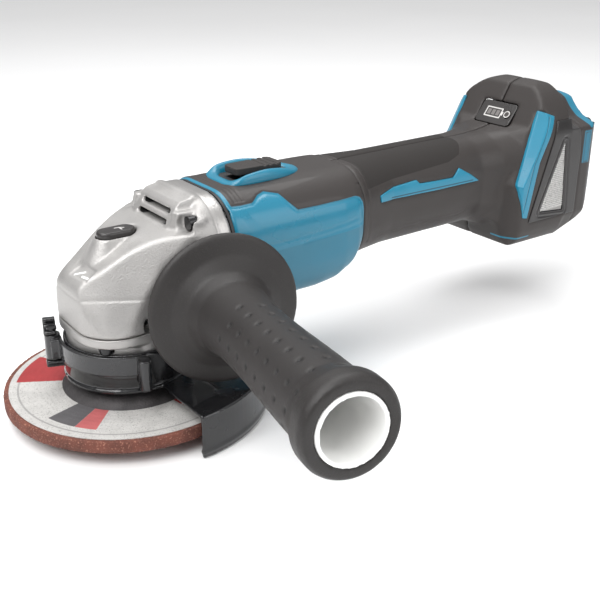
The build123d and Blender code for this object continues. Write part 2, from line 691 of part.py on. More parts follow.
with BuildPart() as rotor_shaft:
    with BuildSketch(motor_plane(PINION_FRONT - 1.0)):
        Circle(SHAFT_RADIUS)
    extrude(amount=REAR_BEARING_X + MOTOR_BEARING_WIDTH - PINION_FRONT + 1.0)
rotor_shaft.part.label = "rotor_shaft"
export_step(rotor_shaft.part, "parts/rotor_shaft.step")

pinion_apex = Plane(origin=(0, 0, AXIS_HEIGHT), x_dir=(0, 0, -1), z_dir=(1, 0, 0))
pinion_tooth = bevel_tooth(PINION_PITCH, GEAR_PITCH, PINION_TEETH, pinion_apex)
pinion_root = PINION_PITCH - GEAR_MODULE * DEDENDUM * GEAR_PITCH / CONE_LENGTH
pinion_inner_root = pinion_root * (CONE_LENGTH - GEAR_FACE) / CONE_LENGTH

with BuildPart() as bevel_pinion:
    with BuildSketch(Plane.XZ):
        with BuildLine():
            Polyline(
                (PINION_FRONT, AXIS_HEIGHT),
                (PINION_FRONT, AXIS_HEIGHT + pinion_inner_root - 0.2),
                (gear_inner, AXIS_HEIGHT + pinion_inner_root),
                (GEAR_PITCH, AXIS_HEIGHT + pinion_root),
                (PINION_REAR, AXIS_HEIGHT + pinion_root),
                (PINION_REAR, AXIS_HEIGHT),
                close=True,
            )
        make_face()
    revolve(axis=Axis((0, 0, AXIS_HEIGHT), (1, 0, 0)))
    for step in range(PINION_TEETH):
        turn = (step + 0.5) * 360 / PINION_TEETH
        add(pinion_tooth.rotate(Axis((0, 0, AXIS_HEIGHT), (1, 0, 0)), turn))
    with BuildSketch(motor_plane(PINION_FRONT - 1)):
        Circle(SHAFT_RADIUS)
    extrude(amount=PINION_REAR - PINION_FRONT + 2, mode=Mode.SUBTRACT)
bevel_pinion.part.label = "bevel_pinion"
export_step(bevel_pinion.part, "parts/bevel_pinion.step")

bearing("front_motor_bearing", motor_plane(FRONT_BEARING_X), SHAFT_RADIUS,
        MOTOR_BEARING_RADIUS, MOTOR_BEARING_WIDTH)
bearing("rear_motor_bearing", motor_plane(REAR_BEARING_X), SHAFT_RADIUS,
        MOTOR_BEARING_RADIUS, MOTOR_BEARING_WIDTH)

with BuildPart() as cooling_fan:
    with BuildSketch(motor_plane(FAN_X)):
        Circle(FAN_RADIUS - 1.5)
        Circle(SHAFT_RADIUS, mode=Mode.SUBTRACT)
    extrude(amount=1.6)
    with BuildSketch(motor_plane(FAN_X)):
        Circle(SHAFT_RADIUS + 3.0)
        Circle(SHAFT_RADIUS, mode=Mode.SUBTRACT)
    extrude(amount=FAN_DEPTH)
    with BuildSketch(motor_plane(FAN_X)):
        with PolarLocations(0, FAN_BLADES):
            with Locations((17.0, 0)):
                Rectangle(16.0, 1.4, rotation=24)
    extrude(amount=FAN_DEPTH)
cooling_fan.part.label = "cooling_fan"
export_step(cooling_fan.part, "parts/cooling_fan.step")

with BuildPart() as rotor_core:
    with BuildSketch(motor_plane(STATOR_X)):
        Circle(ROTOR_RADIUS - MAGNET_WALL)
        Circle(SHAFT_RADIUS, mode=Mode.SUBTRACT)
    extrude(amount=STATOR_LENGTH)
rotor_core.part.label = "rotor_core"
export_step(rotor_core.part, "parts/rotor_core.step")

with BuildPart() as rotor_magnets:
    with BuildSketch(motor_plane(STATOR_X)):
        Circle(ROTOR_RADIUS)
        Circle(ROTOR_RADIUS - MAGNET_WALL, mode=Mode.SUBTRACT)
        with PolarLocations(0, 4):
            with Locations((ROTOR_RADIUS, 0)):
                Rectangle(2 * MAGNET_WALL + 3.0, 1.2, mode=Mode.SUBTRACT)
    extrude(amount=STATOR_LENGTH)
rotor_magnets.part.label = "rotor_magnets"
export_step(rotor_magnets.part, "parts/rotor_magnets.step")

YOKE_WALL = 4.5
slot_floor = STATOR_RADIUS - YOKE_WALL

with BuildPart() as stator_core:
    with BuildSketch(motor_plane(STATOR_X)):
        Circle(STATOR_RADIUS)
        Circle(slot_floor, mode=Mode.SUBTRACT)
        with PolarLocations(0, STATOR_TEETH):
            with Locations(((slot_floor + STATOR_BORE) / 2 + 0.5, 0)):
                Rectangle(slot_floor - STATOR_BORE + 1.0, TOOTH_WIDTH)
    extrude(amount=STATOR_LENGTH)
    with BuildSketch(motor_plane(STATOR_X)):
        Circle(STATOR_BORE)
    extrude(amount=STATOR_LENGTH, mode=Mode.SUBTRACT)
stator_core.part.label = "stator_core"
export_step(stator_core.part, "parts/stator_core.step")

coil_middle = STATOR_X + STATOR_LENGTH / 2
with BuildPart() as stator_coils:
    with Locations(motor_plane(coil_middle)):
        with PolarLocations(0, STATOR_TEETH):
            with Locations((slot_floor - 3.6, 0, 0)):
                Box(5.0, TOOTH_WIDTH + 6.0, STATOR_LENGTH + 2 * COIL_OVERHANG)
        with PolarLocations(0, STATOR_TEETH):
            with Locations((slot_floor - 3.6, 0, 0)):
                Box(6.0, TOOTH_WIDTH + 0.2, STATOR_LENGTH + 0.4, mode=Mode.SUBTRACT)
stator_coils.part.label = "stator_coils"
export_step(stator_coils.part, "parts/stator_coils.step")

# ======================= motor housing =======================

with BuildPart() as baffle_plate:
    with BuildSketch(x_plane(HOUSING_REAR)):
        with Locations((0, (HOUSING_TOP + HOUSING_BOTTOM) / 2)):
            RectangleRounded(2 * REAR_HALF - 1.0, HOUSING_TOP - HOUSING_BOTTOM - 1.0, BARREL_CORNER)
    extrude(amount=BAFFLE_THICKNESS)
    with BuildSketch(motor_plane(HOUSING_REAR)):
        Circle(SHAFT_RADIUS + 14.0)
        for height in (-BODY_SCREW_Z, BODY_SCREW_Z):
            with Locations((-BODY_SCREW_Y, height), (BODY_SCREW_Y, height)):
                Circle(SCREW_RADIUS + 0.2)
    extrude(amount=BAFFLE_THICKNESS, mode=Mode.SUBTRACT)
baffle_plate.part.label = "baffle_plate"
export_step(baffle_plate.part, "parts/baffle_plate.step")

ROOM_RADIUS = STATOR_RADIUS + LOOSE
BARREL_STATIONS = (
    (BARREL_REAR, REAR_HALF, HOUSING_BOTTOM, HOUSING_TOP, BARREL_CORNER),
    (112.0, REAR_HALF, HOUSING_BOTTOM + 1.6, HOUSING_TOP, BARREL_CORNER),
    (121.0, 33.5, HOUSING_BOTTOM + 6.0, HOUSING_TOP - 0.1, BARREL_CORNER - 1),
    (MOTOR_REAR, GRIP_FRONT_HALF, GRIP_BOTTOM, GRIP_TOP - 0.6, GRIP_CORNER),
)

with BuildPart() as motor_housing:
    with BuildSketch(x_plane(MOTOR_FRONT)):
        with Locations((0, (HOUSING_TOP + HOUSING_BOTTOM) / 2)):
            RectangleRounded(2 * REAR_HALF, HOUSING_TOP - HOUSING_BOTTOM, BARREL_CORNER)
    extrude(amount=BARREL_REAR - MOTOR_FRONT)
    # the underside rises and the sides close in towards the grip
    for x, half, low, high, corner in BARREL_STATIONS:
        with BuildSketch(x_plane(x)):
            with Locations((0, (low + high) / 2)):
                RectangleRounded(2 * half, high - low, corner)
    loft(ruled=True)
    with BuildSketch(motor_plane(MOTOR_FRONT)):
        Circle(ROOM_RADIUS)
    extrude(amount=STATOR_X + STATOR_LENGTH + COIL_OVERHANG + 2.0 - MOTOR_FRONT, mode=Mode.SUBTRACT)
    with BuildSketch(motor_plane(REAR_BEARING_X - 5.0)):
        Circle(SHAFT_RADIUS + 3.0)
    extrude(amount=8.0, mode=Mode.SUBTRACT)
    with BuildSketch(motor_plane(REAR_BEARING_X)):
        Circle(MOTOR_BEARING_RADIUS)
    extrude(amount=MOTOR_REAR - REAR_BEARING_X, mode=Mode.SUBTRACT)
    with BuildSketch(motor_plane(REAR_BEARING_X + MOTOR_BEARING_WIDTH + REAR_WALL)):
        with Locations((0, 7.0)):
            RectangleRounded(44.0, 34.0, 10.0)
    extrude(amount=MOTOR_REAR - REAR_BEARING_X - MOTOR_BEARING_WIDTH - REAR_WALL, mode=Mode.SUBTRACT)
    for height in (-BODY_SCREW_Z, BODY_SCREW_Z):
        with BuildSketch(motor_plane(MOTOR_FRONT)):
            with Locations((-BODY_SCREW_Y, height), (BODY_SCREW_Y, height)):
                Circle(SCREW_RADIUS + FIT)
        extrude(amount=14.0, mode=Mode.SUBTRACT)
    # channel of the switch rod and the window under the knob
    with BuildSketch(x_plane(KNOB_X - SWITCH_TRAVEL - 2.0)):
        with Locations((0, ROD_HEIGHT + ROD_THICKNESS / 2)):
            Rectangle(2 * ROD_HALF + 0.8, ROD_THICKNESS + 0.8)
    extrude(amount=MOTOR_REAR - KNOB_X + SWITCH_TRAVEL + 2.0, mode=Mode.SUBTRACT)
    with BuildSketch(Plane.XY.offset(ROD_HEIGHT)):
        with Locations((PIVOT_X - SWITCH_TRAVEL / 2, 0)):
            Rectangle(CHEEK_LENGTH + SWITCH_TRAVEL + 3.0, 2 * CHEEK_OUTER + 1.2)
    extrude(amount=20.0, mode=Mode.SUBTRACT)
motor_housing.part.label = "motor_housing"
export_step(motor_housing.part, "parts/motor_housing.step")

# ======================= grip shells and battery foot =======================

SHELL_STATIONS = (
    (MOTOR_REAR, GRIP_FRONT_HALF, GRIP_BOTTOM, GRIP_TOP - 0.6, GRIP_CORNER),
    (136.0, GRIP_HALF + 4.0, GRIP_BOTTOM, GRIP_TOP - 0.4, GRIP_CORNER),
    (GRIP_WAIST_X, GRIP_HALF + 0.8, GRIP_BOTTOM, GRIP_TOP - 0.2, GRIP_CORNER),
    (GRIP_END_X, GRIP_HALF, GRIP_BOTTOM + 0.3, GRIP_TOP + 0.5, GRIP_CORNER),
    (FOOT_FRONT, GRIP_HALF + 3.0, GRIP_BOTTOM - 4.0, GRIP_TOP + 1.2, GRIP_CORNER),
    (FOOT_FRONT + 11.0, GRIP_HALF + 9.0, GRIP_BOTTOM - 10.0, GRIP_TOP + 3.0, GRIP_CORNER),
)


def foot_outline(inset):
    """Side outline of the battery foot, drawn inwards by the inset."""
    return (
        (GRIP_END_X - 4.0 + inset, 62.0),
        (FOOT_FRONT - 1.0 + inset, 52.0),
        (FOOT_FRONT + 0.5 + inset, FOOT_BOTTOM + 6.0 + inset),
        (FOOT_FRONT + 3.0 + inset, FOOT_BOTTOM + 1.5 + inset),
        (FOOT_FRONT + 8.0 + inset, FOOT_BOTTOM + inset),
        (FOOT_REAR - 24.0 - inset, FOOT_BOTTOM + inset),
        (FOOT_REAR - 8.0 - inset, FOOT_BOTTOM + 9.0 + inset),
        (FOOT_REAR - inset, FOOT_BOTTOM + 20.0 + inset),
        (FOOT_REAR - inset, FOOT_TOP - 12.5 - inset),
        (FOOT_REAR - 9.0 - inset, FOOT_TOP - 7.8 - inset),
        (FOOT_REAR - 21.0 - inset, FOOT_TOP - 3.4 - inset),
        (FOOT_REAR - 32.0, FOOT_TOP - inset),
        (FOOT_REAR - 41.0 + inset, FOOT_TOP - 2.5 - inset),
        (FOOT_REAR - 45.5 + inset, FOOT_TOP - 10.0),
        (FOOT_REAR - 54.0 + inset, GRIP_TOP + 5.0),
        (FOOT_REAR - 63.0 + inset, GRIP_TOP + 1.0 - inset),
        (GRIP_END_X - 4.0 + inset, GRIP_TOP - 3.0 - inset),
    )


def plan_outline(ease, inset):
    """The foot from above; the ease turns the square front corners into the round hump."""
    square = ((-9.0, 20.0), (-1.0, 26.0), (2.5, 32.5), (6.0, FOOT_HALF))
    rounded = ((12.0, 10.0), (16.5, 20.5), (22.0, 28.0), (31.0, FOOT_HALF))
    right = tuple(
        (FOOT_FRONT + a + (c - a) * ease + inset, b + (d - b) * ease - inset)
        for (a, b), (c, d) in zip(square, rounded)
    )
    right += ((FOOT_REAR - 6.0, FOOT_HALF - inset), (FOOT_REAR + 1.0, FOOT_HALF - 4.0 - inset))
    return right + tuple((x, -y) for x, y in reversed(right))


def rail_outline(inset):
    """Outline of the battery rail plate across the tool, drawn inwards by the inset."""
    right = (
        (9.0, 122.6 - inset),
        (15.5 - inset, 119.8 - inset),
        (20.0 - inset, 114.5 - inset),
        (25.5 - inset, 110.0 - inset),
        (FOOT_HALF - inset, 105.5 - inset),
        (FOOT_HALF - inset, 52.0 + inset),
        (FOOT_HALF - 7.0 - inset, FOOT_BOTTOM + inset),
    )
    return right + tuple((-y, z) for y, z in reversed(right))


def shell_body(inset, front, rear):
    """The grip and foot as one closed body; the inset draws every face inwards."""
    with BuildPart() as body:
        for x, half, low, high, corner in SHELL_STATIONS:
            with BuildSketch(x_plane(x)):
                with Locations((0, (low + high) / 2)):
                    RectangleRounded(2 * (half - inset), high - low - 2 * inset, corner - inset)
        loft(ruled=True)
        with BuildSketch(Plane.XZ):
            with BuildLine():
                Polyline(*foot_outline(inset), close=True)
            make_face()
        foot = extrude(amount=FOOT_HALF - inset, both=True, mode=Mode.PRIVATE)
        with BuildSketch(Plane.XY):
            with BuildLine():
                Polyline(*plan_outline(0.0, inset), close=True)
            make_face()
        lower_plan = extrude(amount=SHOULDER_LOW, mode=Mode.PRIVATE)
        with BuildPart(mode=Mode.PRIVATE) as shoulder:
            for height, ease in ((SHOULDER_LOW, 0.0), (SHOULDER_HIGH, 1.0)):
                with BuildSketch(Plane.XY.offset(height)):
                    with BuildLine():
                        Polyline(*plan_outline(ease, inset), close=True)
                    make_face()
            loft(ruled=True)
        with BuildSketch(Plane.XY.offset(SHOULDER_HIGH)):
            with BuildLine():
                Polyline(*plan_outline(1.0, inset), close=True)
            make_face()
        upper_plan = extrude(amount=40.0, mode=Mode.PRIVATE)
        plan = lower_plan + shoulder.part + upper_plan
        with BuildSketch(x_plane(GRIP_END_X - 10.0)):
            with Locations((0, (FOOT_TOP + FOOT_BOTTOM) / 2)):
                RectangleRounded(
                    2 * (FOOT_HALF - inset), FOOT_TOP - FOOT_BOTTOM - 2 * inset, FOOT_CORNER - inset
                )
            with Locations((0, FOOT_BOTTOM + 25.0)):
                RectangleRounded(
                    2 * (FOOT_HALF - inset), 50.0 - 2 * inset, FOOT_KEEL_CORNER - inset
                )
        hump = extrude(amount=RAIL_PLATE_X - GRIP_END_X + 10.0, mode=Mode.PRIVATE)
        with BuildSketch(x_plane(RAIL_PLATE_X - 0.01)):
            with BuildLine():
                Polyline(*rail_outline(inset), close=True)
            make_face()
        rail = extrude(amount=40.0, mode=Mode.PRIVATE)
        round_off = hump + rail
        add(foot & plan & round_off)
        if front > MOTOR_REAR or rear < FOOT_REAR:
            with Locations(((front + rear) / 2, 0, 80.0)):
                Box(rear - front, 100.0, 140.0, mode=Mode.INTERSECT)
    return body.part


shell_outer = shell_body(0.0, MOTOR_REAR, FOOT_REAR)
shell_inner = shell_body(SHELL_WALL, MOTOR_REAR - 1.0, FOOT_REAR - SHELL_WALL)

PANEL_WIDTH = 27.0
PANEL_HEIGHT = 15.0
CHECK_X = -9.0              # along the panel from its middle, towards the left side
CHECK_RADIUS = 2.4
CONTROLLER_X = 271.0
CONTROLLER_Z = 59.0
RAIL_HALF = 31.0
RAIL_LENGTH = 48.0
RAIL_HEIGHT = 4.0
TERMINAL_Z = 84.0
TERMINAL_HALF = 22.0
TERMINAL_HEIGHT = 34.0

PANEL_ORIGIN = Vector(FOOT_REAR - 51.5, 0, GRIP_TOP + 9.5)
PANEL_TILT = Vector(-0.79, 0, 0.61)
panel_plane = Plane(origin=PANEL_ORIGIN, x_dir=(0, 1, 0), z_dir=PANEL_TILT)

STRIPE = (
    (140.6, 86.2), (141.2, 82.3), (187.0, 81.3), (218.5, 81.3), (211.5, 86.0),
    (202.6, 91.0), (197.4, 86.4), (171.4, 87.2), (169.2, 89.6), (152.5, 88.6),
)
TRIM = (
    (257.6, 118.4), (266.6, 115.0), (254.2, 89.3), (247.4, 56.0), (243.6, 56.8), (239.8, 76.7),
)
VENT = (
    (268.6, 112.0), (283.6, 112.0), (289.0, 103.5), (291.0, 91.7), (290.5, 52.6), (249.0, 52.6),
    (256.0, 73.6),
)
VENT_WINDOW = ((276.0, 99.0), (279.6, 56.0), (259.0, 58.0))
# x, z and seat of each shell screw; the seat is how far the head's bearing face lies from the seam
SHELL_SCREWS = (
    (137.0, 66.0, 18.0), (137.0, 92.0, 18.0), (214.0, 68.0, 16.0), (214.0, 93.0, 16.0),
    (262.0, 46.0, 26.0), (290.0, 112.0, 30.0),
)
SHELL_BOSS_RADIUS = 4.4
STRIPE_START = 20.0
INLAY_START = 29.0
INLAY_DEPTH = 1.2
INLAY_PROUD = 0.3

inlay_floor = shell_body(INLAY_DEPTH, MOTOR_REAR - 1.0, FOOT_REAR - INLAY_DEPTH)
inlay_skin = shell_body(-INLAY_PROUD, MOTOR_REAR + 1.0, FOOT_REAR)


def side_prism(outline, side, start):
    """A prism over an outline drawn in x and z, from start out past one side."""
    with BuildPart() as prism:
        with BuildSketch(side_plane(side * start)):
            with BuildLine():
                Polyline(*outline, close=True)
            make_face()
        extrude(amount=-side * 60.0)
    return prism.part


with BuildPart() as screw_bosses:
    with BuildSketch(side_plane(FOOT_HALF + 1)):
        for x, z, seat in SHELL_SCREWS:
            with Locations((x, z)):
                Circle(SHELL_BOSS_RADIUS)
    extrude(amount=2 * FOOT_HALF + 2)
    add(inlay_floor, mode=Mode.INTERSECT)

with BuildPart() as grip_shells:
    add(shell_outer)
    add(shell_inner, mode=Mode.SUBTRACT)
    add(screw_bosses.part)
    with BuildSketch(x_plane(FOOT_REAR - SHELL_WALL - 1)):
        with Locations((0, TERMINAL_Z)):
            Rectangle(2 * TERMINAL_HALF, TERMINAL_HEIGHT)
    extrude(amount=SHELL_WALL + 3, mode=Mode.SUBTRACT)
    with BuildSketch(panel_plane.offset(-4.0)):
        Rectangle(PANEL_WIDTH + 0.4, PANEL_HEIGHT + 0.4)
    extrude(amount=20.0, mode=Mode.SUBTRACT)
    for side in (-1, 1):
        for outline, start in ((STRIPE, STRIPE_START), (TRIM, INLAY_START), (VENT, INLAY_START)):
            add(side_prism(outline, side, start) - inlay_floor, mode=Mode.SUBTRACT)
        add(side_prism(VENT_WINDOW, side, INLAY_START), mode=Mode.SUBTRACT)
    for x, z, seat in SHELL_SCREWS:
        with BuildSketch(side_plane(seat)):
            with Locations((x, z)):
                Circle(SCREW_HEAD_RADIUS + LOOSE)
        extrude(amount=-40.0, mode=Mode.SUBTRACT)
        with BuildSketch(side_plane(seat)):
            with Locations((x, z)):
                Circle(SCREW_RADIUS + FIT)
        extrude(amount=2 * seat - 4.0, mode=Mode.SUBTRACT)

with BuildPart() as shell_left:
    add(grip_shells.part)
    split(bisect_by=Plane.XZ, keep=Keep.TOP)
shell_left.part.label = "grip_shell_left"
export_step(shell_left.part, "parts/grip_shell_left.step")

with BuildPart() as shell_right:
    add(grip_shells.part)
    split(bisect_by=Plane.XZ, keep=Keep.BOTTOM)
shell_right.part.label = "grip_shell_right"
export_step(shell_right.part, "parts/grip_shell_right.step")

with BuildPart() as shell_screws:
    for x, z, seat in SHELL_SCREWS:
        with BuildSketch(side_plane(seat)):
            with Locations((x, z)):
                Circle(SCREW_HEAD_RADIUS)
        extrude(amount=-SCREW_HEAD_HEIGHT)
        with BuildSketch(side_plane(seat)):
            with Locations((x, z)):
                Circle(SCREW_RADIUS)
        extrude(amount=2 * seat - 5.0)
shell_screws.part.label = "shell_screws"
export_step(shell_screws.part, "parts/shell_screws.step")

for side, name in ((-1, "left"), (1, "right")):
    skin = inlay_skin - inlay_floor
    with BuildPart() as side_stripe:
        add(skin & side_prism(STRIPE, side, STRIPE_START))
    side_stripe.part.label = f"side_stripe_{name}"
    export_step(side_stripe.part, f"parts/side_stripe_{name}.step")

    with BuildPart() as foot_trim:
        add(skin & side_prism(TRIM, side, INLAY_START))
    foot_trim.part.label = f"foot_trim_{name}"
    export_step(foot_trim.part, f"parts/foot_trim_{name}.step")

    with BuildPart() as vent_frame:
        add(skin & side_prism(VENT, side, INLAY_START))
        add(side_prism(VENT_WINDOW, side, INLAY_START), mode=Mode.SUBTRACT)
    vent_frame.part.label = f"vent_frame_{name}"
    export_step(vent_frame.part, f"parts/vent_frame_{name}.step")

    with BuildPart() as vent_mesh:
        add((shell_outer - inlay_floor) & side_prism(VENT_WINDOW, side, INLAY_START))
    vent_mesh.part.label = f"vent_mesh_{name}"
    export_step(vent_mesh.part, f"parts/vent_mesh_{name}.step")

with BuildPart() as indicator_panel:
    with BuildSketch(panel_plane.offset(-2.4)):
        RectangleRounded(PANEL_WIDTH, PANEL_HEIGHT, 2.5)
        with Locations((CHECK_X, 0)):
            Circle(CHECK_RADIUS + FIT + 0.05, mode=Mode.SUBTRACT)
    extrude(amount=2.4)
indicator_panel.part.label = "indicator_panel"
export_step(indicator_panel.part, "parts/indicator_panel.step")

with BuildPart() as check_button:
    with BuildSketch(panel_plane.offset(-1.6)):
        with Locations((CHECK_X, 0)):
            Circle(CHECK_RADIUS)
    extrude(amount=2.2)
check_button.part.label = "check_button"
export_step(check_button.part, "parts/check_button.step")

# ======================= electrics in the foot =======================

with BuildPart() as controller:
    with Locations((CONTROLLER_X, 0, CONTROLLER_Z)):
        Box(34.0, 2 * (FOOT_HALF - SHELL_WALL) - 0.5, 14.0)
controller.part.label = "controller"
export_step(controller.part, "parts/controller.step")

BLADE_Y = (-12.0, 0.0, 12.0)
BLADE_THICKNESS = 0.8
with BuildPart() as terminal_block:
    with BuildSketch(x_plane(FOOT_REAR - 14.0)):
        with Locations((0, TERMINAL_Z)):
            Rectangle(2 * TERMINAL_HALF - 0.4, TERMINAL_HEIGHT - 0.4)
    extrude(amount=14.0)
    with BuildSketch(x_plane(FOOT_REAR)):
        with Locations((0, TERMINAL_Z)):
            RectangleRounded(2 * RAIL_HALF, RAIL_LENGTH, 3.0)
    extrude(amount=1.5)
    for side in (-1, 1):
        with BuildSketch(x_plane(FOOT_REAR + 1.5)):
            with Locations((side * (RAIL_HALF - 2.0), TERMINAL_Z)):
                Rectangle(2.5, RAIL_LENGTH - 6.0)
        extrude(amount=RAIL_HEIGHT)
        with BuildSketch(x_plane(FOOT_REAR + 1.5 + RAIL_HEIGHT - 1.5)):
            with Locations((side * (RAIL_HALF - 4.0), TERMINAL_Z)):
                Rectangle(4.0, RAIL_LENGTH - 6.0)
        extrude(amount=1.5)
    with BuildSketch(x_plane(FOOT_REAR - 8.0)):
        for y in BLADE_Y:
            with Locations((y, TERMINAL_Z)):
                Rectangle(BLADE_THICKNESS, 20.0)
    extrude(amount=12.0, mode=Mode.SUBTRACT)
terminal_block.part.label = "terminal_block"
export_step(terminal_block.part, "parts/terminal_block.step")

with BuildPart() as terminal_blades:
    with BuildSketch(x_plane(FOOT_REAR - 8.0)):
        for y in BLADE_Y:
            with Locations((y, TERMINAL_Z)):
                Rectangle(BLADE_THICKNESS, 20.0)
    extrude(amount=8.0 + 1.5 + RAIL_HEIGHT - 0.5)
terminal_blades.part.label = "terminal_blades"
export_step(terminal_blades.part, "parts/terminal_blades.step")

# ======================= slide switch =======================

with BuildPart() as switch_bezel:
    with BuildSketch(Plane.XY.offset(HOUSING_TOP - 2.0)):
        with Locations(((BEZEL_FRONT + BEZEL_REAR) / 2, 0)):
            RectangleRounded(BEZEL_REAR - BEZEL_FRONT, 2 * BEZEL_HALF, 6.0)
    extrude(amount=2.0 + BEZEL_WALL_HEIGHT)
    with BuildSketch(Plane.XZ):
        with BuildLine():
            Polyline(
                (BEZEL_FRONT - 1, HOUSING_TOP - 3.0),
                (BEZEL_FRONT - 1, HOUSING_TOP + 2.5),
                (BEZEL_FRONT + 5.0, HOUSING_TOP + 3.5),
                (BEZEL_FRONT + 15.0, HOUSING_TOP + 7.5),
                (BEZEL_REAR - 12.0, HOUSING_TOP + 7.0),
                (BEZEL_REAR + 1, HOUSING_TOP + 2.0),
                (BEZEL_REAR + 1, HOUSING_TOP - 3.0),
                close=True,
            )
        make_face()
    extrude(amount=30.0, both=True, mode=Mode.INTERSECT)
    with BuildSketch(x_plane(BEZEL_FRONT - 1)):
        with Locations((0, (HOUSING_TOP + HOUSING_BOTTOM) / 2)):
            RectangleRounded(2 * REAR_HALF, HOUSING_TOP - HOUSING_BOTTOM, BARREL_CORNER)
    extrude(amount=BEZEL_REAR - BEZEL_FRONT + 2, mode=Mode.SUBTRACT)
    with BuildSketch(Plane.XY.offset(HOUSING_TOP + BEZEL_FLOOR)):
        with Locations((KNOB_X + KNOB_LENGTH / 2 - SWITCH_TRAVEL / 2, 0)):
            Rectangle(KNOB_LENGTH + SWITCH_TRAVEL + 4.0, 2 * KNOB_HALF + 2.0)
    extrude(amount=20.0, mode=Mode.SUBTRACT)
    with BuildSketch(Plane.XY.offset(HOUSING_TOP - 3.0)):
        with Locations((PIVOT_X - SWITCH_TRAVEL / 2, 0)):
            Rectangle(CHEEK_LENGTH + SWITCH_TRAVEL + 3.0, 2 * CHEEK_OUTER + 1.2)
    extrude(amount=20.0, mode=Mode.SUBTRACT)
switch_bezel.part.label = "switch_bezel"
export_step(switch_bezel.part, "parts/switch_bezel.step")

ROD_TOP = ROD_HEIGHT + ROD_THICKNESS
with BuildPart() as switch_rod:
    with BuildSketch(Plane.XY.offset(ROD_HEIGHT)):
        with Locations(((KNOB_X + ROD_END) / 2, 0)):
            Rectangle(ROD_END - KNOB_X, 2 * ROD_HALF)
    extrude(amount=ROD_THICKNESS)
    with BuildSketch(Plane.XY.offset(ROD_TOP)):
        with Locations((PIVOT_X, 0)):
            Rectangle(4.0, 2 * POST_HALF)
    extrude(amount=PIVOT_Z + 2.0 - ROD_TOP)
    with BuildSketch(Plane(origin=(0, CHEEK_OUTER, 0), x_dir=(1, 0, 0), z_dir=(0, -1, 0))):
        with Locations((PIVOT_X, PIVOT_Z)):
            Circle(PIVOT_PIN_RADIUS)
    extrude(amount=2 * CHEEK_OUTER)
switch_rod.part.label = "switch_rod"
export_step(switch_rod.part, "parts/switch_rod.step")

with BuildPart() as switch_knob:
    with BuildSketch(Plane.XY.offset(KNOB_BOTTOM)):
        with Locations((KNOB_X + KNOB_LENGTH / 2, 0)):
            RectangleRounded(KNOB_LENGTH, 2 * KNOB_HALF, 2.5)
    extrude(amount=KNOB_TOP - KNOB_BOTTOM)
    with BuildSketch(Plane.XY.offset(ROD_TOP + 0.7)):
        with Locations((PIVOT_X, 0)):
            Rectangle(CHEEK_LENGTH, 2 * CHEEK_OUTER)
            Rectangle(CHEEK_LENGTH, 2 * POST_HALF + 0.6, mode=Mode.SUBTRACT)
    extrude(amount=KNOB_BOTTOM - ROD_TOP - 0.7)
    with BuildSketch(side_plane(CHEEK_OUTER + 1)):
        with Locations((PIVOT_X, PIVOT_Z)):
            Circle(PIVOT_PIN_RADIUS + FIT)
    extrude(amount=2 * CHEEK_OUTER + 2, mode=Mode.SUBTRACT)
    with BuildSketch(side_plane(KNOB_HALF + 1)):
        for step in range(3):
            with Locations((KNOB_X + KNOB_LENGTH - 3.5 - 3.0 * step, KNOB_TOP)):
                Rectangle(1.2, 1.2)
    extrude(amount=2 * KNOB_HALF + 2, mode=Mode.SUBTRACT)
switch_knob.part.label = "switch_knob"
export_step(switch_knob.part, "parts/switch_knob.step")

with BuildPart() as switch_unit:
    with Locations((ROD_END + 4.0, 0, ROD_HEIGHT - 10.3)):
        Box(26.0, 24.0, 20.0)
    with Locations((ROD_END + 4.0, 0, ROD_HEIGHT - 21.8)):
        Box(26.0, 2 * (GRIP_HALF - SHELL_WALL) - 0.6, 3.0)
switch_unit.part.label = "switch_unit"
export_step(switch_unit.part, "parts/switch_unit.step")

# ======================= guard and clamp lever =======================

BAND_INNER = NECK_RADIUS + 0.05
BAND_OUTER = BAND_INNER + BAND_WALL
PLATE_INNER = FLANGE_RADIUS + 3.0
LEVER_INNER = BAND_OUTER + 0.5
LEVER_OUTER = LEVER_INNER + LEVER_WALL
PIVOT_ORBIT = LEVER_OUTER + 2.4
EYE_RADIUS = 3.8
LUG_BOTTOM = LEVER_BOTTOM - 5.0
LUG_TOP = BAND_TOP + 4.0

# local frame of the clamp: x runs outwards through the pivot, y runs along the lever
clamp_plane = Plane.XY.rotated((0, 0, PIVOT_ANGLE))

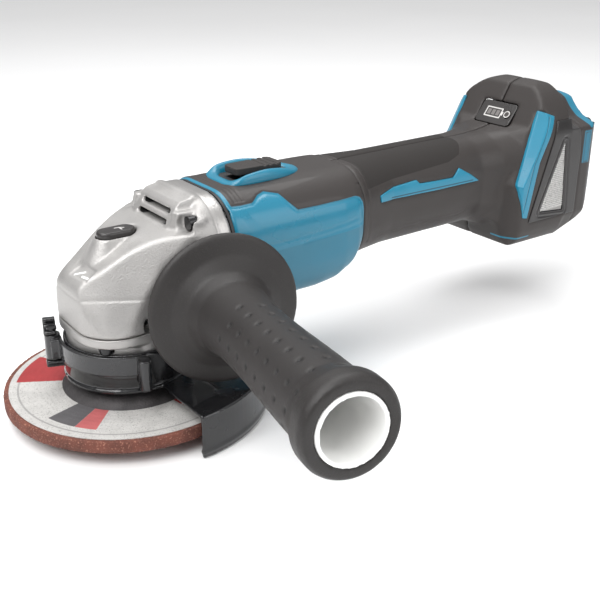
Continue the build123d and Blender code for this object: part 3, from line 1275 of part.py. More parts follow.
with BuildPart() as guard_shell:
    with BuildSketch(Plane.XY.offset(GUARD_TOP - GUARD_SHEET)):
        Circle(GUARD_RADIUS)
        Circle(PLATE_INNER, mode=Mode.SUBTRACT)
    extrude(amount=GUARD_SHEET)
    with BuildSketch(Plane.XY.offset(GUARD_TOP - GUARD_SKIRT_DEPTH)):
        Circle(GUARD_RADIUS)
        Circle(GUARD_RADIUS - GUARD_SHEET, mode=Mode.SUBTRACT)
    extrude(amount=GUARD_SKIRT_DEPTH)
    widest = guard_shell.edges().filter_by(GeomType.CIRCLE).sort_by(SortBy.RADIUS)[-3:]
    fillet(widest.sort_by(Axis.Z)[-1], 1.5)
    with Locations((1.5 - GUARD_RADIUS, 0, 0)):
        Box(2 * GUARD_RADIUS, 2 * GUARD_RADIUS + 2, 80.0, mode=Mode.SUBTRACT)
    with BuildSketch(Plane.XY.offset(GUARD_TOP - GUARD_SHEET)):
        Circle(BAND_OUTER + 1.0)
        Circle(PLATE_INNER, mode=Mode.SUBTRACT)
    extrude(amount=GUARD_SHEET)
    with BuildSketch(Plane.XY.offset(GUARD_TOP - GUARD_SHEET)):
        Circle(BAND_OUTER)
        Circle(BAND_INNER, mode=Mode.SUBTRACT)
    extrude(amount=BAND_TOP - GUARD_TOP + GUARD_SHEET)
    # lugs that carry the lever's pivot
    with BuildSketch(clamp_plane.offset(LUG_BOTTOM)):
        with Locations(((BAND_OUTER - 0.8 + PIVOT_ORBIT + 4.0) / 2, -2.2)):
            Rectangle(PIVOT_ORBIT + 4.8 - BAND_OUTER, 11.6)
        Circle(BAND_INNER + 0.6, mode=Mode.SUBTRACT)
    extrude(amount=3.4)
    with BuildSketch(clamp_plane.offset(LUG_BOTTOM)):
        with Locations(((HEAD_HALF + 4.6 + PIVOT_ORBIT + 4.0) / 2, -6.2)):
            Rectangle(PIVOT_ORBIT + 4.0 - HEAD_HALF - 4.6, 3.6)
    extrude(amount=LUG_TOP + 3.5 - LUG_BOTTOM)
    with BuildSketch(clamp_plane.offset(LUG_TOP - 2.0)):
        with Locations(((HEAD_HALF + 4.6 + PIVOT_ORBIT + 4.0) / 2, -2.2)):
            Rectangle(PIVOT_ORBIT + 4.0 - HEAD_HALF - 4.6, 11.6)
    extrude(amount=2.0)
    with BuildSketch(clamp_plane.offset(LUG_BOTTOM)):
        with Locations((PIVOT_ORBIT, 0)):
            Circle(PIVOT_RADIUS)
    extrude(amount=LUG_TOP - LUG_BOTTOM, mode=Mode.SUBTRACT)
guard_shell.part.label = "guard_shell"
export_step(guard_shell.part, "parts/guard_shell.step")

with BuildPart() as guard_pivot_pin:
    with BuildSketch(clamp_plane.offset(LUG_BOTTOM)):
        with Locations((PIVOT_ORBIT, 0)):
            Circle(PIVOT_RADIUS)
    extrude(amount=LUG_TOP - LUG_BOTTOM)
    with BuildSketch(clamp_plane.offset(LUG_TOP)):
        with Locations((PIVOT_ORBIT, 0)):
            Circle(PIVOT_RADIUS + 0.5)
    extrude(amount=1.2)
guard_pivot_pin.part.label = "guard_pivot_pin"
export_step(guard_pivot_pin.part, "parts/guard_pivot_pin.step")

LEVER_SWEEP = TAB_ANGLE - PIVOT_ANGLE
with BuildPart() as clamp_lever:
    with BuildSketch(clamp_plane.offset(LEVER_BOTTOM)):
        Circle(LEVER_OUTER)
        Circle(LEVER_INNER, mode=Mode.SUBTRACT)
        with BuildLine():
            Polyline(
                (0, 0),
                (80.0, 0),
                (80.0 * cos(radians(LEVER_SWEEP / 2)), 80.0 * sin(radians(LEVER_SWEEP / 2))),
                (80.0 * cos(radians(LEVER_SWEEP)), 80.0 * sin(radians(LEVER_SWEEP))),
                close=True,
            )
        make_face(mode=Mode.INTERSECT)
    extrude(amount=BAND_TOP - LEVER_BOTTOM)
    with BuildSketch(clamp_plane.offset(LUG_BOTTOM + 3.6)):
        with Locations((PIVOT_ORBIT, 0)):
            Circle(EYE_RADIUS)
    extrude(amount=LUG_TOP - 2.2 - LUG_BOTTOM - 3.6)
    with BuildSketch(clamp_plane.offset(LEVER_BOTTOM)):
        with Locations(((LEVER_INNER + 0.6 + PIVOT_ORBIT + 1.0) / 2, 3.0)):
            Rectangle(PIVOT_ORBIT + 0.4 - LEVER_INNER, 5.0)
    extrude(amount=BAND_TOP - LEVER_BOTTOM)
    with BuildSketch(clamp_plane.offset(LUG_BOTTOM)):
        with Locations((PIVOT_ORBIT, 0)):
            Circle(PIVOT_RADIUS + FIT)
    extrude(amount=LUG_TOP - LUG_BOTTOM + 2, mode=Mode.SUBTRACT)
    with BuildSketch(Plane.XY.rotated((0, 0, TAB_ANGLE)).offset(TAB_BOTTOM)):
        with Locations(((LEVER_INNER + 0.5 + TAB_REACH) / 2, 0)):
            RectangleRounded(TAB_REACH - LEVER_INNER - 0.5, 5.6, 2.2)
    extrude(amount=BAND_TOP - TAB_BOTTOM)
clamp_lever.part.label = "clamp_lever"
export_step(clamp_lever.part, "parts/clamp_lever.step")

# ======================= side handle =======================

handle_plane = Plane(origin=HANDLE_ORIGIN, z_dir=HANDLE_AXIS)
handle_profile = Plane(
    origin=HANDLE_ORIGIN, x_dir=handle_plane.x_dir, z_dir=handle_plane.x_dir.cross(HANDLE_AXIS)
)
handle_line = Axis(HANDLE_ORIGIN, HANDLE_AXIS)

with BuildPart() as handle_stud:
    with BuildSketch(handle_plane.offset(-NECK_LENGTH - STUD_DEPTH)):
        Circle(STUD_RADIUS)
    extrude(amount=NECK_LENGTH + STUD_DEPTH + 30.0)
handle_stud.part.label = "handle_stud"
export_step(handle_stud.part, "parts/handle_stud.step")

with BuildPart() as handle_grip:
    with BuildSketch(handle_profile):
        with BuildLine():
            Polyline(
                (0, -NECK_LENGTH),
                (BOSS_RADIUS - 0.5, -NECK_LENGTH),
                (BOSS_RADIUS - 1.0, -4.5),
                (HANDLE_FLANGE_RADIUS - 6.0, -2.6),
                (HANDLE_FLANGE_RADIUS - 1.2, -2.2),
                (HANDLE_FLANGE_RADIUS, -0.8),
                (HANDLE_FLANGE_RADIUS, 0.8),
                (HANDLE_FLANGE_RADIUS - 1.4, 2.2),
                (27.0, 4.2),
                (21.0, 8.5),
                (18.0, 15.0),
                (HANDLE_GRIP_RADIUS + 0.3, 24.0),
            )
            Spline(
                (HANDLE_GRIP_RADIUS + 0.3, 24.0),
                (HANDLE_GRIP_RADIUS - 0.4, 45.0),
                (HANDLE_GRIP_RADIUS + 0.4, 85.0),
                (HANDLE_GRIP_RADIUS + 0.9, 112.0),
            )
            Polyline(
                (HANDLE_GRIP_RADIUS + 0.9, 112.0),
                (HANDLE_END_RADIUS - 1.0, 119.5),
                (HANDLE_END_RADIUS, 122.5),
                (HANDLE_END_RADIUS, HANDLE_LENGTH - 2.5),
                (HANDLE_END_RADIUS - 1.5, HANDLE_LENGTH),
                (0, HANDLE_LENGTH),
                (0, -NECK_LENGTH),
            )
        make_face()
    revolve(axis=handle_line)
    with BuildSketch(handle_plane.offset(SLEEVE_START)):
        Circle(SLEEVE_RADIUS)
    extrude(amount=HANDLE_LENGTH, mode=Mode.SUBTRACT)
    with BuildSketch(handle_plane.offset(-NECK_LENGTH)):
        Circle(STUD_RADIUS + FIT)
    extrude(amount=NECK_LENGTH + 30.5, mode=Mode.SUBTRACT)
handle_grip.part.label = "handle_grip"
export_step(handle_grip.part, "parts/handle_grip.step")

with BuildPart() as handle_sleeve:
    with BuildSketch(handle_plane.offset(SLEEVE_START)):
        Circle(SLEEVE_RADIUS)
    extrude(amount=HANDLE_LENGTH - SLEEVE_START + 0.6)
    with BuildSketch(handle_plane.offset(SLEEVE_START + 3.0)):
        Circle(SLEEVE_RADIUS - SLEEVE_WALL)
    extrude(amount=HANDLE_LENGTH, mode=Mode.SUBTRACT)
handle_sleeve.part.label = "handle_sleeve"
export_step(handle_sleeve.part, "parts/handle_sleeve.step")
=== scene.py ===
import json
import math
import bmesh
import bpy
import numpy as np
from mathutils import Matrix, Vector


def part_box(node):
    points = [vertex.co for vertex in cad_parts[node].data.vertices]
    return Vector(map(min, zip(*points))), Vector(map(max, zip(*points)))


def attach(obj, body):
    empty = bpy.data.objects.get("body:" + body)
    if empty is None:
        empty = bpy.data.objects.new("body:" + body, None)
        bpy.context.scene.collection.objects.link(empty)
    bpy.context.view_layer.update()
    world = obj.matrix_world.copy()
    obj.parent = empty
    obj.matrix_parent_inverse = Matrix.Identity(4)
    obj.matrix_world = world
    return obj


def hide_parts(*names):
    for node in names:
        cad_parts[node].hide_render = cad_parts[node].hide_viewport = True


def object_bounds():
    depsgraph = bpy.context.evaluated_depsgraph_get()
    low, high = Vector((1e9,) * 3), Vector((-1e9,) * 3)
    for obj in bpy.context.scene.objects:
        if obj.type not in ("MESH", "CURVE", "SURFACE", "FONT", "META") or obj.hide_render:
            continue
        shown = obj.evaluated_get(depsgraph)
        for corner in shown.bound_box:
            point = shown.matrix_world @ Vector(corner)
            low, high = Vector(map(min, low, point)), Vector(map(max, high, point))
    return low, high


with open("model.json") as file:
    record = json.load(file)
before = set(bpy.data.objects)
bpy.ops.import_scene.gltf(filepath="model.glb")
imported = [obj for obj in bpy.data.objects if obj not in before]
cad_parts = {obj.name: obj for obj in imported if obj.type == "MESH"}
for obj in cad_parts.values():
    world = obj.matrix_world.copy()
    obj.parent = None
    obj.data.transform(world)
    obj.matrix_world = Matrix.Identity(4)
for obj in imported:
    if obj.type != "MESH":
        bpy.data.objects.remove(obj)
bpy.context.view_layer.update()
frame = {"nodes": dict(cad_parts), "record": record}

MM = 0.001
nodes = frame["nodes"]
scene = bpy.context.scene
UP = Vector((0, 0, 1))


# ---------------------------------------------------------------- materials
def srgb(red, green, blue):
    """A colour from its 0-255 values on screen."""
    values = [v / 255 for v in (red, green, blue)]
    return tuple(v / 12.92 if v <= 0.04045 else ((v + 0.055) / 1.055) ** 2.4 for v in values) + (1.0,)


def shade(colour, factor):
    """The same colour, lighter or darker."""
    return tuple(min(1.0, v * factor) for v in colour[:3]) + (1.0,)


def surface(name, colour, rough=0.5, metal=0.0, mottle=0.12, mottle_scale=45.0, grain=0.0, grain_scale=1500.0,
            speckle=0.0, speckle_colour=None, brushed=None, coat=0.0, regions=(), wear=0.08):
    """A finish with mottling, fine grain and rubbed patches. Regions are (attribute, colour, rough, metal)."""
    made = bpy.data.materials.new(name)
    made.use_nodes = True
    tree = made.node_tree
    bsdf = tree.nodes["Principled BSDF"]
    add = tree.nodes.new
    join = tree.links.new
    place = add("ShaderNodeTexCoord")
    broad = add("ShaderNodeTexNoise")
    broad.inputs["Scale"].default_value = mottle_scale
    broad.inputs["Detail"].default_value = 5.0
    join(place.outputs["Object"], broad.inputs["Vector"])
    fine = add("ShaderNodeTexNoise")
    fine.inputs["Scale"].default_value = grain_scale
    fine.inputs["Detail"].default_value = 3.0
    if brushed:
        stretch = add("ShaderNodeMapping")
        stretch.inputs["Scale"].default_value = brushed
        join(place.outputs["Object"], stretch.inputs["Vector"])
        join(stretch.outputs["Vector"], fine.inputs["Vector"])
    else:
        join(place.outputs["Object"], fine.inputs["Vector"])

    def mix(factor, first, second):
        node = add("ShaderNodeMix")
        node.data_type = "RGBA"
        join(factor, node.inputs["Factor"])
        for socket, value in ((node.inputs["A"], first), (node.inputs["B"], second)):
            if isinstance(value, tuple):
                socket.default_value = value
            else:
                join(value, socket)
        return node.outputs["Result"]

    def number(factor, first, second):
        node = add("ShaderNodeMix")
        join(factor, node.inputs["Factor"])
        for socket, value in ((node.inputs["A"], first), (node.inputs["B"], second)):
            if isinstance(value, float):
                socket.default_value = value
            else:
                join(value, socket)
        return node.outputs["Result"]

    def spread(source, low, high):
        node = add("ShaderNodeMapRange")
        node.inputs["From Min"].default_value = low
        node.inputs["From Max"].default_value = high
        join(source, node.inputs["Value"])
        return node.outputs["Result"]

    patches = spread(broad.outputs["Fac"], 0.32, 0.68)
    tint = mix(patches, shade(colour, 1.0 - mottle), shade(colour, 1.0 + mottle))
    gloss = number(patches, max(0.02, rough - wear), min(1.0, rough + wear))
    shine = metal
    if speckle:
        dots = spread(fine.outputs["Fac"], 0.55, 0.72)
        faint = add("ShaderNodeMath")
        faint.operation = "MULTIPLY"
        join(dots, faint.inputs[0])
        faint.inputs[1].default_value = speckle
        tint = mix(faint.outputs["Value"], tint, speckle_colour or shade(colour, 1.8))
    for attribute, region_colour, region_rough, region_metal in regions:
        mask = add("ShaderNodeAttribute")
        mask.attribute_name = attribute
        inside = spread(mask.outputs["Fac"], -0.12, 0.12)
        painted = mix(patches, shade(region_colour, 1.0 - mottle), shade(region_colour, 1.0 + mottle))
        tint = mix(inside, tint, painted)
        gloss = number(inside, gloss, region_rough)
        if region_metal != metal or not isinstance(shine, float):
            shine = number(inside, shine, region_metal)
    join(tint, bsdf.inputs["Base Color"])
    join(gloss, bsdf.inputs["Roughness"])
    if isinstance(shine, float):
        bsdf.inputs["Metallic"].default_value = shine
    else:
        join(shine, bsdf.inputs["Metallic"])
    if grain:
        bump = add("ShaderNodeBump")
        bump.inputs["Strength"].default_value = grain
        bump.inputs["Distance"].default_value = 0.0003
        join(fine.outputs["Fac"], bump.inputs["Height"])
        join(bump.outputs["Normal"], bsdf.inputs["Normal"])
    bsdf.inputs["Coat Weight"].default_value = coat
    return made


def paint(obj, finish):
    """The finish on every face of the object."""
    if not obj.data.materials:
        obj.data.materials.append(finish)
    for i in range(len(obj.data.materials)):
        obj.data.materials[i] = finish


ALUMINIUM = srgb(172, 170, 168)
TEAL = srgb(22, 118, 146)
DARK = srgb(45, 40, 38)
BLACK = srgb(34, 33, 34)
WHITE = srgb(245, 245, 243)

finishes = {
    "casting": surface("cast_aluminium", ALUMINIUM, 0.42, 0.75, 0.05, 60.0, 0.35, 1400.0),
    "steel": surface("turned_steel", srgb(170, 170, 172), 0.28, 1.0, 0.08, 80.0, 0.15, 900.0, brushed=(1, 1, 8)),
    "bronze": surface("bronze", srgb(176, 130, 78), 0.35, 1.0, 0.1, 80.0, 0.15),
    "black_steel": surface("blacked_steel", srgb(30, 30, 32), 0.3, 0.6, 0.15, 60.0, 0.15, 1200.0, coat=0.4),
    "abrasive": surface("bonded_grit", srgb(96, 60, 50), 0.9, 0.0, 0.25, 90.0, 1.0, 900.0, 0.5, srgb(150, 105, 90)),
    "label_paper": surface("label_paper", srgb(190, 187, 182), 0.75, 0.0, 0.06, 90.0, 0.3, 1300.0, 0.6,
                           srgb(120, 118, 115)),
    "lamination": surface("lamination", srgb(120, 120, 124), 0.4, 0.9, 0.08, 60.0, 0.4, 900.0, brushed=(40, 1, 1)),
    "copper": surface("enamelled_copper", srgb(184, 96, 52), 0.3, 0.9, 0.12, 200.0, 0.5, 700.0, brushed=(1, 6, 6)),
    "magnet": surface("plated_magnet", srgb(92, 92, 98), 0.35, 0.9, 0.06, 60.0, 0.1),
    "teal_plastic": surface("teal_plastic", TEAL, 0.34, 0.0, 0.06, 30.0, 0.12, 2200.0, coat=0.15),
    "dark_grip": surface("dark_grip", DARK, 0.55, 0.0, 0.07, 40.0, 0.35, 1700.0),
    "black_plastic": surface("black_plastic", BLACK, 0.45, 0.0, 0.12, 50.0, 0.25, 1600.0),
    "grille": surface("fine_mesh", srgb(215, 214, 212), 0.4, 0.6, 0.05, 60.0, 1.0, 1100.0, 0.7, srgb(120, 120, 120)),
    "white_plastic": surface("white_plastic", WHITE, 0.38, 0.0, 0.03, 40.0, 0.1, 1500.0),
}
for part in frame["record"]["subparts"]:
    paint(nodes[part["node"]], finishes[part["material_slot"]])


# ---------------------------------------------------------------- shaping tools
def link(mesh, name):
    obj = bpy.data.objects.new(name, mesh)
    scene.collection.objects.link(obj)
    return obj


def apply_modifiers(obj):
    graph = bpy.context.evaluated_depsgraph_get()
    mesh = bpy.data.meshes.new_from_object(obj.evaluated_get(graph))
    obj.modifiers.clear()
    obj.data = mesh
    return obj


def prism(outline, low, high, turn=Matrix.Identity(4), flare=1.0):
    """A closed prism over an outline in millimetres, between two heights, wider at its foot by the flare."""
    made = bmesh.new()
    cx, cy = (sum(values) / len(outline) for values in zip(*outline))
    foot_outline = [(cx + (x - cx) * flare, cy + (y - cy) * flare) for x, y in outline]
    bottom = [made.verts.new((x * MM, y * MM, low * MM)) for x, y in foot_outline]
    top = [made.verts.new((x * MM, y * MM, high * MM)) for x, y in outline]
    made.faces.new(list(reversed(bottom)))
    made.faces.new(top)
    for i in range(len(bottom)):
        j = (i + 1) % len(bottom)
        made.faces.new((bottom[i], bottom[j], top[j], top[i]))
    bmesh.ops.recalc_face_normals(made, faces=made.faces)
    mesh = bpy.data.meshes.new("tool")
    made.to_mesh(mesh)
    made.free()
    mesh.transform(turn)
    return link(mesh, "tool")


def capsule(length, width, steps=14):
    """The outline of a slot with round ends, along x."""
    radius = width / 2
    reach = length / 2 - radius
    points = []
    for centre, start in ((reach, -90), (-reach, 90)):
        for i in range(steps + 1):
            angle = math.radians(start + 180 * i / steps)
            points.append((centre + radius * math.cos(angle), radius * math.sin(angle)))
    return points


def moved(outline, x, y):
    return [(a + x, b + y) for a, b in outline]


def shape(obj, voxel, rounds, adds, cuts, factor):
    """The booleans, the remesh and the softening behind remade."""
    for tools, operation in ((adds, "UNION"), (cuts, "DIFFERENCE")):
        for tool in tools:
            step = obj.modifiers.new("tool", "BOOLEAN")
            step.operation = operation
            step.object = tool
            step.solver = "EXACT"
    step = obj.modifiers.new("remesh", "REMESH")
    step.mode = "VOXEL"
    step.voxel_size = voxel * MM
    step.use_smooth_shade = True
    if rounds:
        step = obj.modifiers.new("soften", "SMOOTH")
        step.iterations = rounds
        step.factor = factor
    apply_modifiers(obj)
    for tool in tuple(adds) + tuple(cuts):
        bpy.data.objects.remove(tool)
    for polygon in obj.data.polygons:
        polygon.use_smooth = True


def remade(node, name, voxel, rounds, adds=(), cuts=(), factor=0.5):
    """A CAD node's shape with bodies added and cut, remeshed evenly and its edges softened."""
    obj = link(nodes[node].data.copy(), name)
    made = bmesh.new()
    made.from_mesh(obj.data)
    bmesh.ops.remove_doubles(made, verts=made.verts, dist=1e-6)
    made.to_mesh(obj.data)
    made.free()
    obj.data.materials.clear()
    shape(obj, voxel, rounds, adds, cuts, factor)
    return obj


def spots(obj):
    """The vertices in millimetres."""
    found = np.empty(len(obj.data.vertices) * 3)
    obj.data.vertices.foreach_get("co", found)
    return found.reshape(-1, 3) / MM


def normals(obj):
    found = np.empty(len(obj.data.vertices) * 3)
    obj.data.vertices.foreach_get("normal", found)
    return found.reshape(-1, 3)


def put(obj, where):
    obj.data.vertices.foreach_set("co", (where * MM).ravel())
    obj.data.update()


def region(obj, name, values):
    """A value at each vertex that the material reads; above zero is inside the region."""
    made = obj.data.attributes.new(name, "FLOAT", "POINT")
    made.data.foreach_set("value", np.asarray(values, np.float32))


def line_distance(flat, line, closed=False):
    """The distance of each point from a line of points."""
    line = np.asarray(line, float)
    ends = np.roll(line, -1, axis=0) if closed else line[1:]
    starts = line if closed else line[:-1]
    best = np.full(len(flat), 1e9)
    for start, end in zip(starts, ends):
        along = end - start
        t = np.clip(((flat - start) @ along) / (along @ along), 0, 1)
        best = np.minimum(best, np.linalg.norm(flat - start - t[:, None] * along, axis=1))
    return best


def inside(flat, outline):
    """Signed distance from a closed outline, positive within it."""
    outline = np.asarray(outline, float)
    within = np.zeros(len(flat), bool)
    for start, end in zip(outline, np.roll(outline, -1, axis=0)):
        crosses = (start[1] > flat[:, 1]) != (end[1] > flat[:, 1])
        rise = end[1] - start[1] if abs(end[1] - start[1]) > 1e-9 else 1e-9
        at = start[0] + (flat[:, 1] - start[1]) * (end[0] - start[0]) / rise
        within ^= crosses & (flat[:, 0] < at)
    return np.where(within, 1.0, -1.0) * line_distance(flat, outline, closed=True)


def groove(distance, width):
    """How deep a round groove is at a distance from its middle, from 0 to 1."""
    return np.exp(-(distance / width) ** 2)


def step(distance, width=0.6):
    """From 0 outside to 1 inside an edge."""
    return np.clip(distance / width + 0.5, 0, 1)


def finish(obj, body, slot, look, *replaced):
    paint(obj, look)
    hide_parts(*replaced)
    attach(obj, body)


VENT_WINDOW = ((276.0, 99.0), (279.6, 56.0), (259.0, 58.0))

# ---------------------------------------------------------------- gear housing
head = remade("gear_housing", "head_casting", 0.9, 14)
SLOT_Z = (91.2, 96.0)
pedestal = prism(moved(capsule(22.0, 12.6), -1.8, 0), 70.0, 85.8, flare=1.9)
seat = prism(moved(capsule(20.4, 11.3), -1.8, 0), 83.3, 92.0)
fins = [
    prism([(x, side * y) for x, y in ((18.5, 18.6), (20.0, 22.6), (27.0, 23.4), (31.0, 21.0), (31.0, 15.0), (22.0, 16.0))],
          78.0, 98.0, flare=1.55) for side in (-1, 1)]
forward_x = Matrix(((0, 0, 1), (1, 0, 0), (0, 1, 0))).to_4x4()
pockets = [prism(moved(capsule(13.0, 8.6), side * 28.4, 93.85), 8.0, 22.9, forward_x) for side in (-1, 1)]
air_slots = [prism([(y, z + 1.2 * math.cos(y / 10.0)) for y, z in moved(capsule(29.0 - 1.5 * i, 2.5), 0, SLOT_Z[i])],
                   8.0, 27.0, forward_x) for i in range(2)]
hump_skin = prism([(x, z) for x, z in ((13.0, 84.0), (15.6, 88.9), (17.2, 91.6), (21.8, 99.2), (24.0, 101.2),
                                       (31.0, 102.6), (33.0, 96.0), (33.0, 84.0))],
                  -17.6, 17.6, Matrix(((1, 0, 0), (0, 0, -1), (0, 1, 0))).to_4x4())
shape(head, 0.66, 4, [pedestal, hump_skin, *fins], [seat, *pockets, *air_slots], 0.5)
where = spots(head)
facing = normals(head)
outer = facing[:, 2] > 0.25
plate = np.array((-0.5, 0.0, 0.866))
flat = where[:, :2]
recess = inside(flat, ((-25.6, 3.0), (-19.0, 2.0), (-18.2, -11.5), (-24.6, -12.4)))
# The chevron strokes on the plate are raised a little and painted white, a painted highlight (glint) on them.
glint_strokes = np.minimum(line_distance(flat, ((-24.6, -0.2), (-21.4, -5.4))),
                   line_distance(flat, ((-23.6, -6.6), (-22.9, -11.6))))
on_plate = (outer & (where[:, 2] > 68) & (where[:, 0] < -15)).astype(float)
where -= plate * (step(recess) * 0.5 * on_plate)[:, None]
where += plate * (groove(glint_strokes, 0.55) * 0.4 * on_plate)[:, None]
wall = (np.abs(facing[:, 2]) < 0.6) & (np.hypot(where[:, 0], where[:, 1]) > 26)
where -= facing * (groove(where[:, 2] - 62.4, 0.7) * 0.3 * wall * (where[:, 0] < 25))[:, None]
where -= facing * (groove(where[:, 0] - 35.4, 0.7) * 0.35 * (where[:, 2] > 50) * (np.abs(facing[:, 0]) < 0.6))[:, None]
# Painted shade: the insides of the air slots, past their mouths, are coloured near-black where shadow falls.
slot_shade = np.full(len(where), -5.0)
for i in range(2):
    mouth = inside(np.stack((where[:, 1], where[:, 2] - 1.2 * np.cos(where[:, 1] / 10.0)), axis=1),
                   moved(capsule(29.8 - 1.5 * i, 3.3), 0, SLOT_Z[i]))
    depth = where[:, 0] - (16.4 + 0.58 * (where[:, 2] - 88.9) + 0.9)
    slot_shade = np.maximum(slot_shade, np.minimum(mouth, depth))
put(head, where)
region(head, "painted_slot_shade", slot_shade)
# Painted highlight: white glint colour on the raised strokes.
region(head, "glint_strokes", (0.5 - glint_strokes) * on_plate - (1 - on_plate) * 5)
region(head, "ring", where[:, 0] - 35.4)
finish(head, "tool_body", "casting", surface(
    "cast_aluminium_head", ALUMINIUM, 0.46, 0.6, 0.06, 60.0, 0.55, 1200.0, 0.25, shade(ALUMINIUM, 0.6),
    regions=(("ring", shade(ALUMINIUM, 1.1), 0.3, 0.75), ("glint_strokes", WHITE, 0.5, 0.1),
             # painted shade inside the air slots
             ("painted_slot_shade", srgb(14, 14, 15), 0.8, 0.0))), "gear_housing")

button = remade("lock_button", "oval_button", 0.3, 8)
where = spots(button)
top = step(where[:, 2] - 87.9, 0.4)
dish = step(inside(where[:, :2], moved(capsule(16.4, 7.4), -1.8, 0)), 1.6)
where[:, 2] -= 0.5 * top * dish
put(button, where)
mark = np.maximum(0.45 - line_distance(where[:, :2], ((0.6, -1.6), (0.6, 1.6))),
                  0.45 - line_distance(where[:, :2], ((-1.6, 1.6), (0.6, 1.6), (2.4, 0.2))))
region(button, "mark", np.where(where[:, 2] > 87.0, mark, -1.0))
finish(button, "shaft_lock", "black_plastic", surface(
    "oval_button", srgb(40, 37, 36), 0.42, 0.0, 0.08, 60.0, 0.2, 1500.0, coat=0.2,
    regions=(("mark", srgb(190, 188, 186), 0.5, 0.0),)), "lock_button")

# ---------------------------------------------------------------- guard side
box_casting = remade("bearing_box", "bearing_casting", 0.6, 3)
finish(box_casting, "tool_body", "casting", finishes["casting"], "bearing_box")

guard = remade("guard_shell", "guard_hood", 0.62, 4)
where = spots(guard)
facing = normals(guard)
distance = np.hypot(where[:, 0], where[:, 1])
skirt = (distance > 60) & (np.abs(facing[:, 2]) < 0.5)
where += facing * (groove(where[:, 2] + 1.5, 1.1) * 0.5 * skirt)[:, None]
put(guard, where)
finish(guard, "guard", "black_steel", surface(
    "gloss_black_guard", srgb(26, 26, 28), 0.22, 0.3, 0.2, 35.0, 0.12, 800.0, coat=0.6, wear=0.1), "guard_shell")

lever = remade("clamp_lever", "clamp_lever_pressing", 0.35, 5)
finish(lever, "guard_lever", "black_steel", surface(
    "gloss_black_lever", srgb(34, 34, 36), 0.24, 0.4, 0.2, 60.0, 0.12, 900.0, coat=0.6), "clamp_lever")

# ---------------------------------------------------------------- wheel
wheel = remade("grinding_wheel", "bonded_wheel", 0.8, 2)
where = spots(wheel)
facing = normals(wheel)
distance = np.hypot(where[:, 0], where[:, 1])
grit = np.sin(where[:, 0] * 3.1 + 5 * np.sin(where[:, 1] * 1.7)) * np.sin(where[:, 1] * 2.9 + 4 * np.sin(
    where[:, 2] * 2.3 + where[:, 0]))
where += facing * (0.13 * grit * step(distance - 57.5, 2.0))[:, None]
put(wheel, where)
region(wheel, "hub", np.where(where[:, 2] > 6.0, 34.2 - distance, -5.0))
finish(wheel, "spindle_group", "abrasive", surface(
    "bonded_grit_wheel", srgb(104, 62, 52), 0.9, 0.0, 0.28, 140.0, 1.0, 1100.0, 0.8, srgb(170, 120, 100),
    regions=(("hub", srgb(66, 63, 64), 0.7, 0.0),)), "grinding_wheel")

label_low, label_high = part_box("wheel_label")
label_outer = (label_high.x - label_low.x) / 2 / MM
label_radii = np.linspace(34.0, label_outer, 36)
turns = 420
made = bmesh.new()
circles = []
for height in (label_high.z, label_low.z):
    for radius in label_radii if height == label_high.z else label_radii[[-1, 0]]:
        rise = 0.00004 * math.sin(radius * 2.1) if height == label_high.z else 0.0
        circles.append([made.verts.new((radius * MM * math.cos(math.tau * i / turns),
                                        radius * MM * math.sin(math.tau * i / turns), height + rise))
                        for i in range(turns)])
for one, two in zip(circles, circles[1:] + circles[:1]):
    for i in range(turns):
        j = (i + 1) % turns
        made.faces.new((one[i], one[j], two[j], two[i]))
bmesh.ops.recalc_face_normals(made, faces=made.faces)
mesh = bpy.data.meshes.new("wheel_paper")
made.to_mesh(mesh)
made.free()
paper = link(mesh, "wheel_paper")
where = spots(paper)
distance = np.hypot(where[:, 0], where[:, 1])
bearing = np.degrees(np.arctan2(where[:, 1], where[:, 0])) % 360


def sector(start, end, near, far):
    """Signed distance in millimetres from a piece of the ring."""
    middle_angle = (start + end) / 2
    aside = np.abs((bearing - middle_angle + 180) % 360 - 180)
    around = ((end - start) / 2 - aside) * np.pi / 180 * distance
    return np.minimum(around, np.minimum(distance - near, far - distance))


region(paper, "dark_band", np.maximum(sector(196, 214, 27, 52), sector(20, 60, 27, 52)))
region(paper, "pink", np.maximum(sector(214, 226, 27, 52), sector(80, 96, 27, 52)))
region(paper, "red", np.maximum(sector(281, 296, 34, 57), sector(120, 150, 34, 57)))
stripes = np.minimum(sector(281, 296, 36, 55), 0.45 - np.abs((distance - 38.0) % 4.5 - 2.2))
region(paper, "stripes", stripes)
region(paper, "edge_line", 0.5 - np.abs(distance - 55.5))
finish(paper, "spindle_group", "label_paper", surface(
    "wheel_paper", srgb(186, 184, 181), 0.8, 0.0, 0.08, 160.0, 0.5, 1500.0, 0.75, srgb(110, 108, 106),
    regions=(("edge_line", srgb(150, 148, 146), 0.8, 0.0), ("dark_band", srgb(84, 82, 84), 0.75, 0.0),
             ("pink", srgb(176, 92, 92), 0.75, 0.0), ("red", srgb(150, 44, 46), 0.7, 0.0),
             ("stripes", srgb(225, 222, 218), 0.7, 0.0))), "wheel_label")

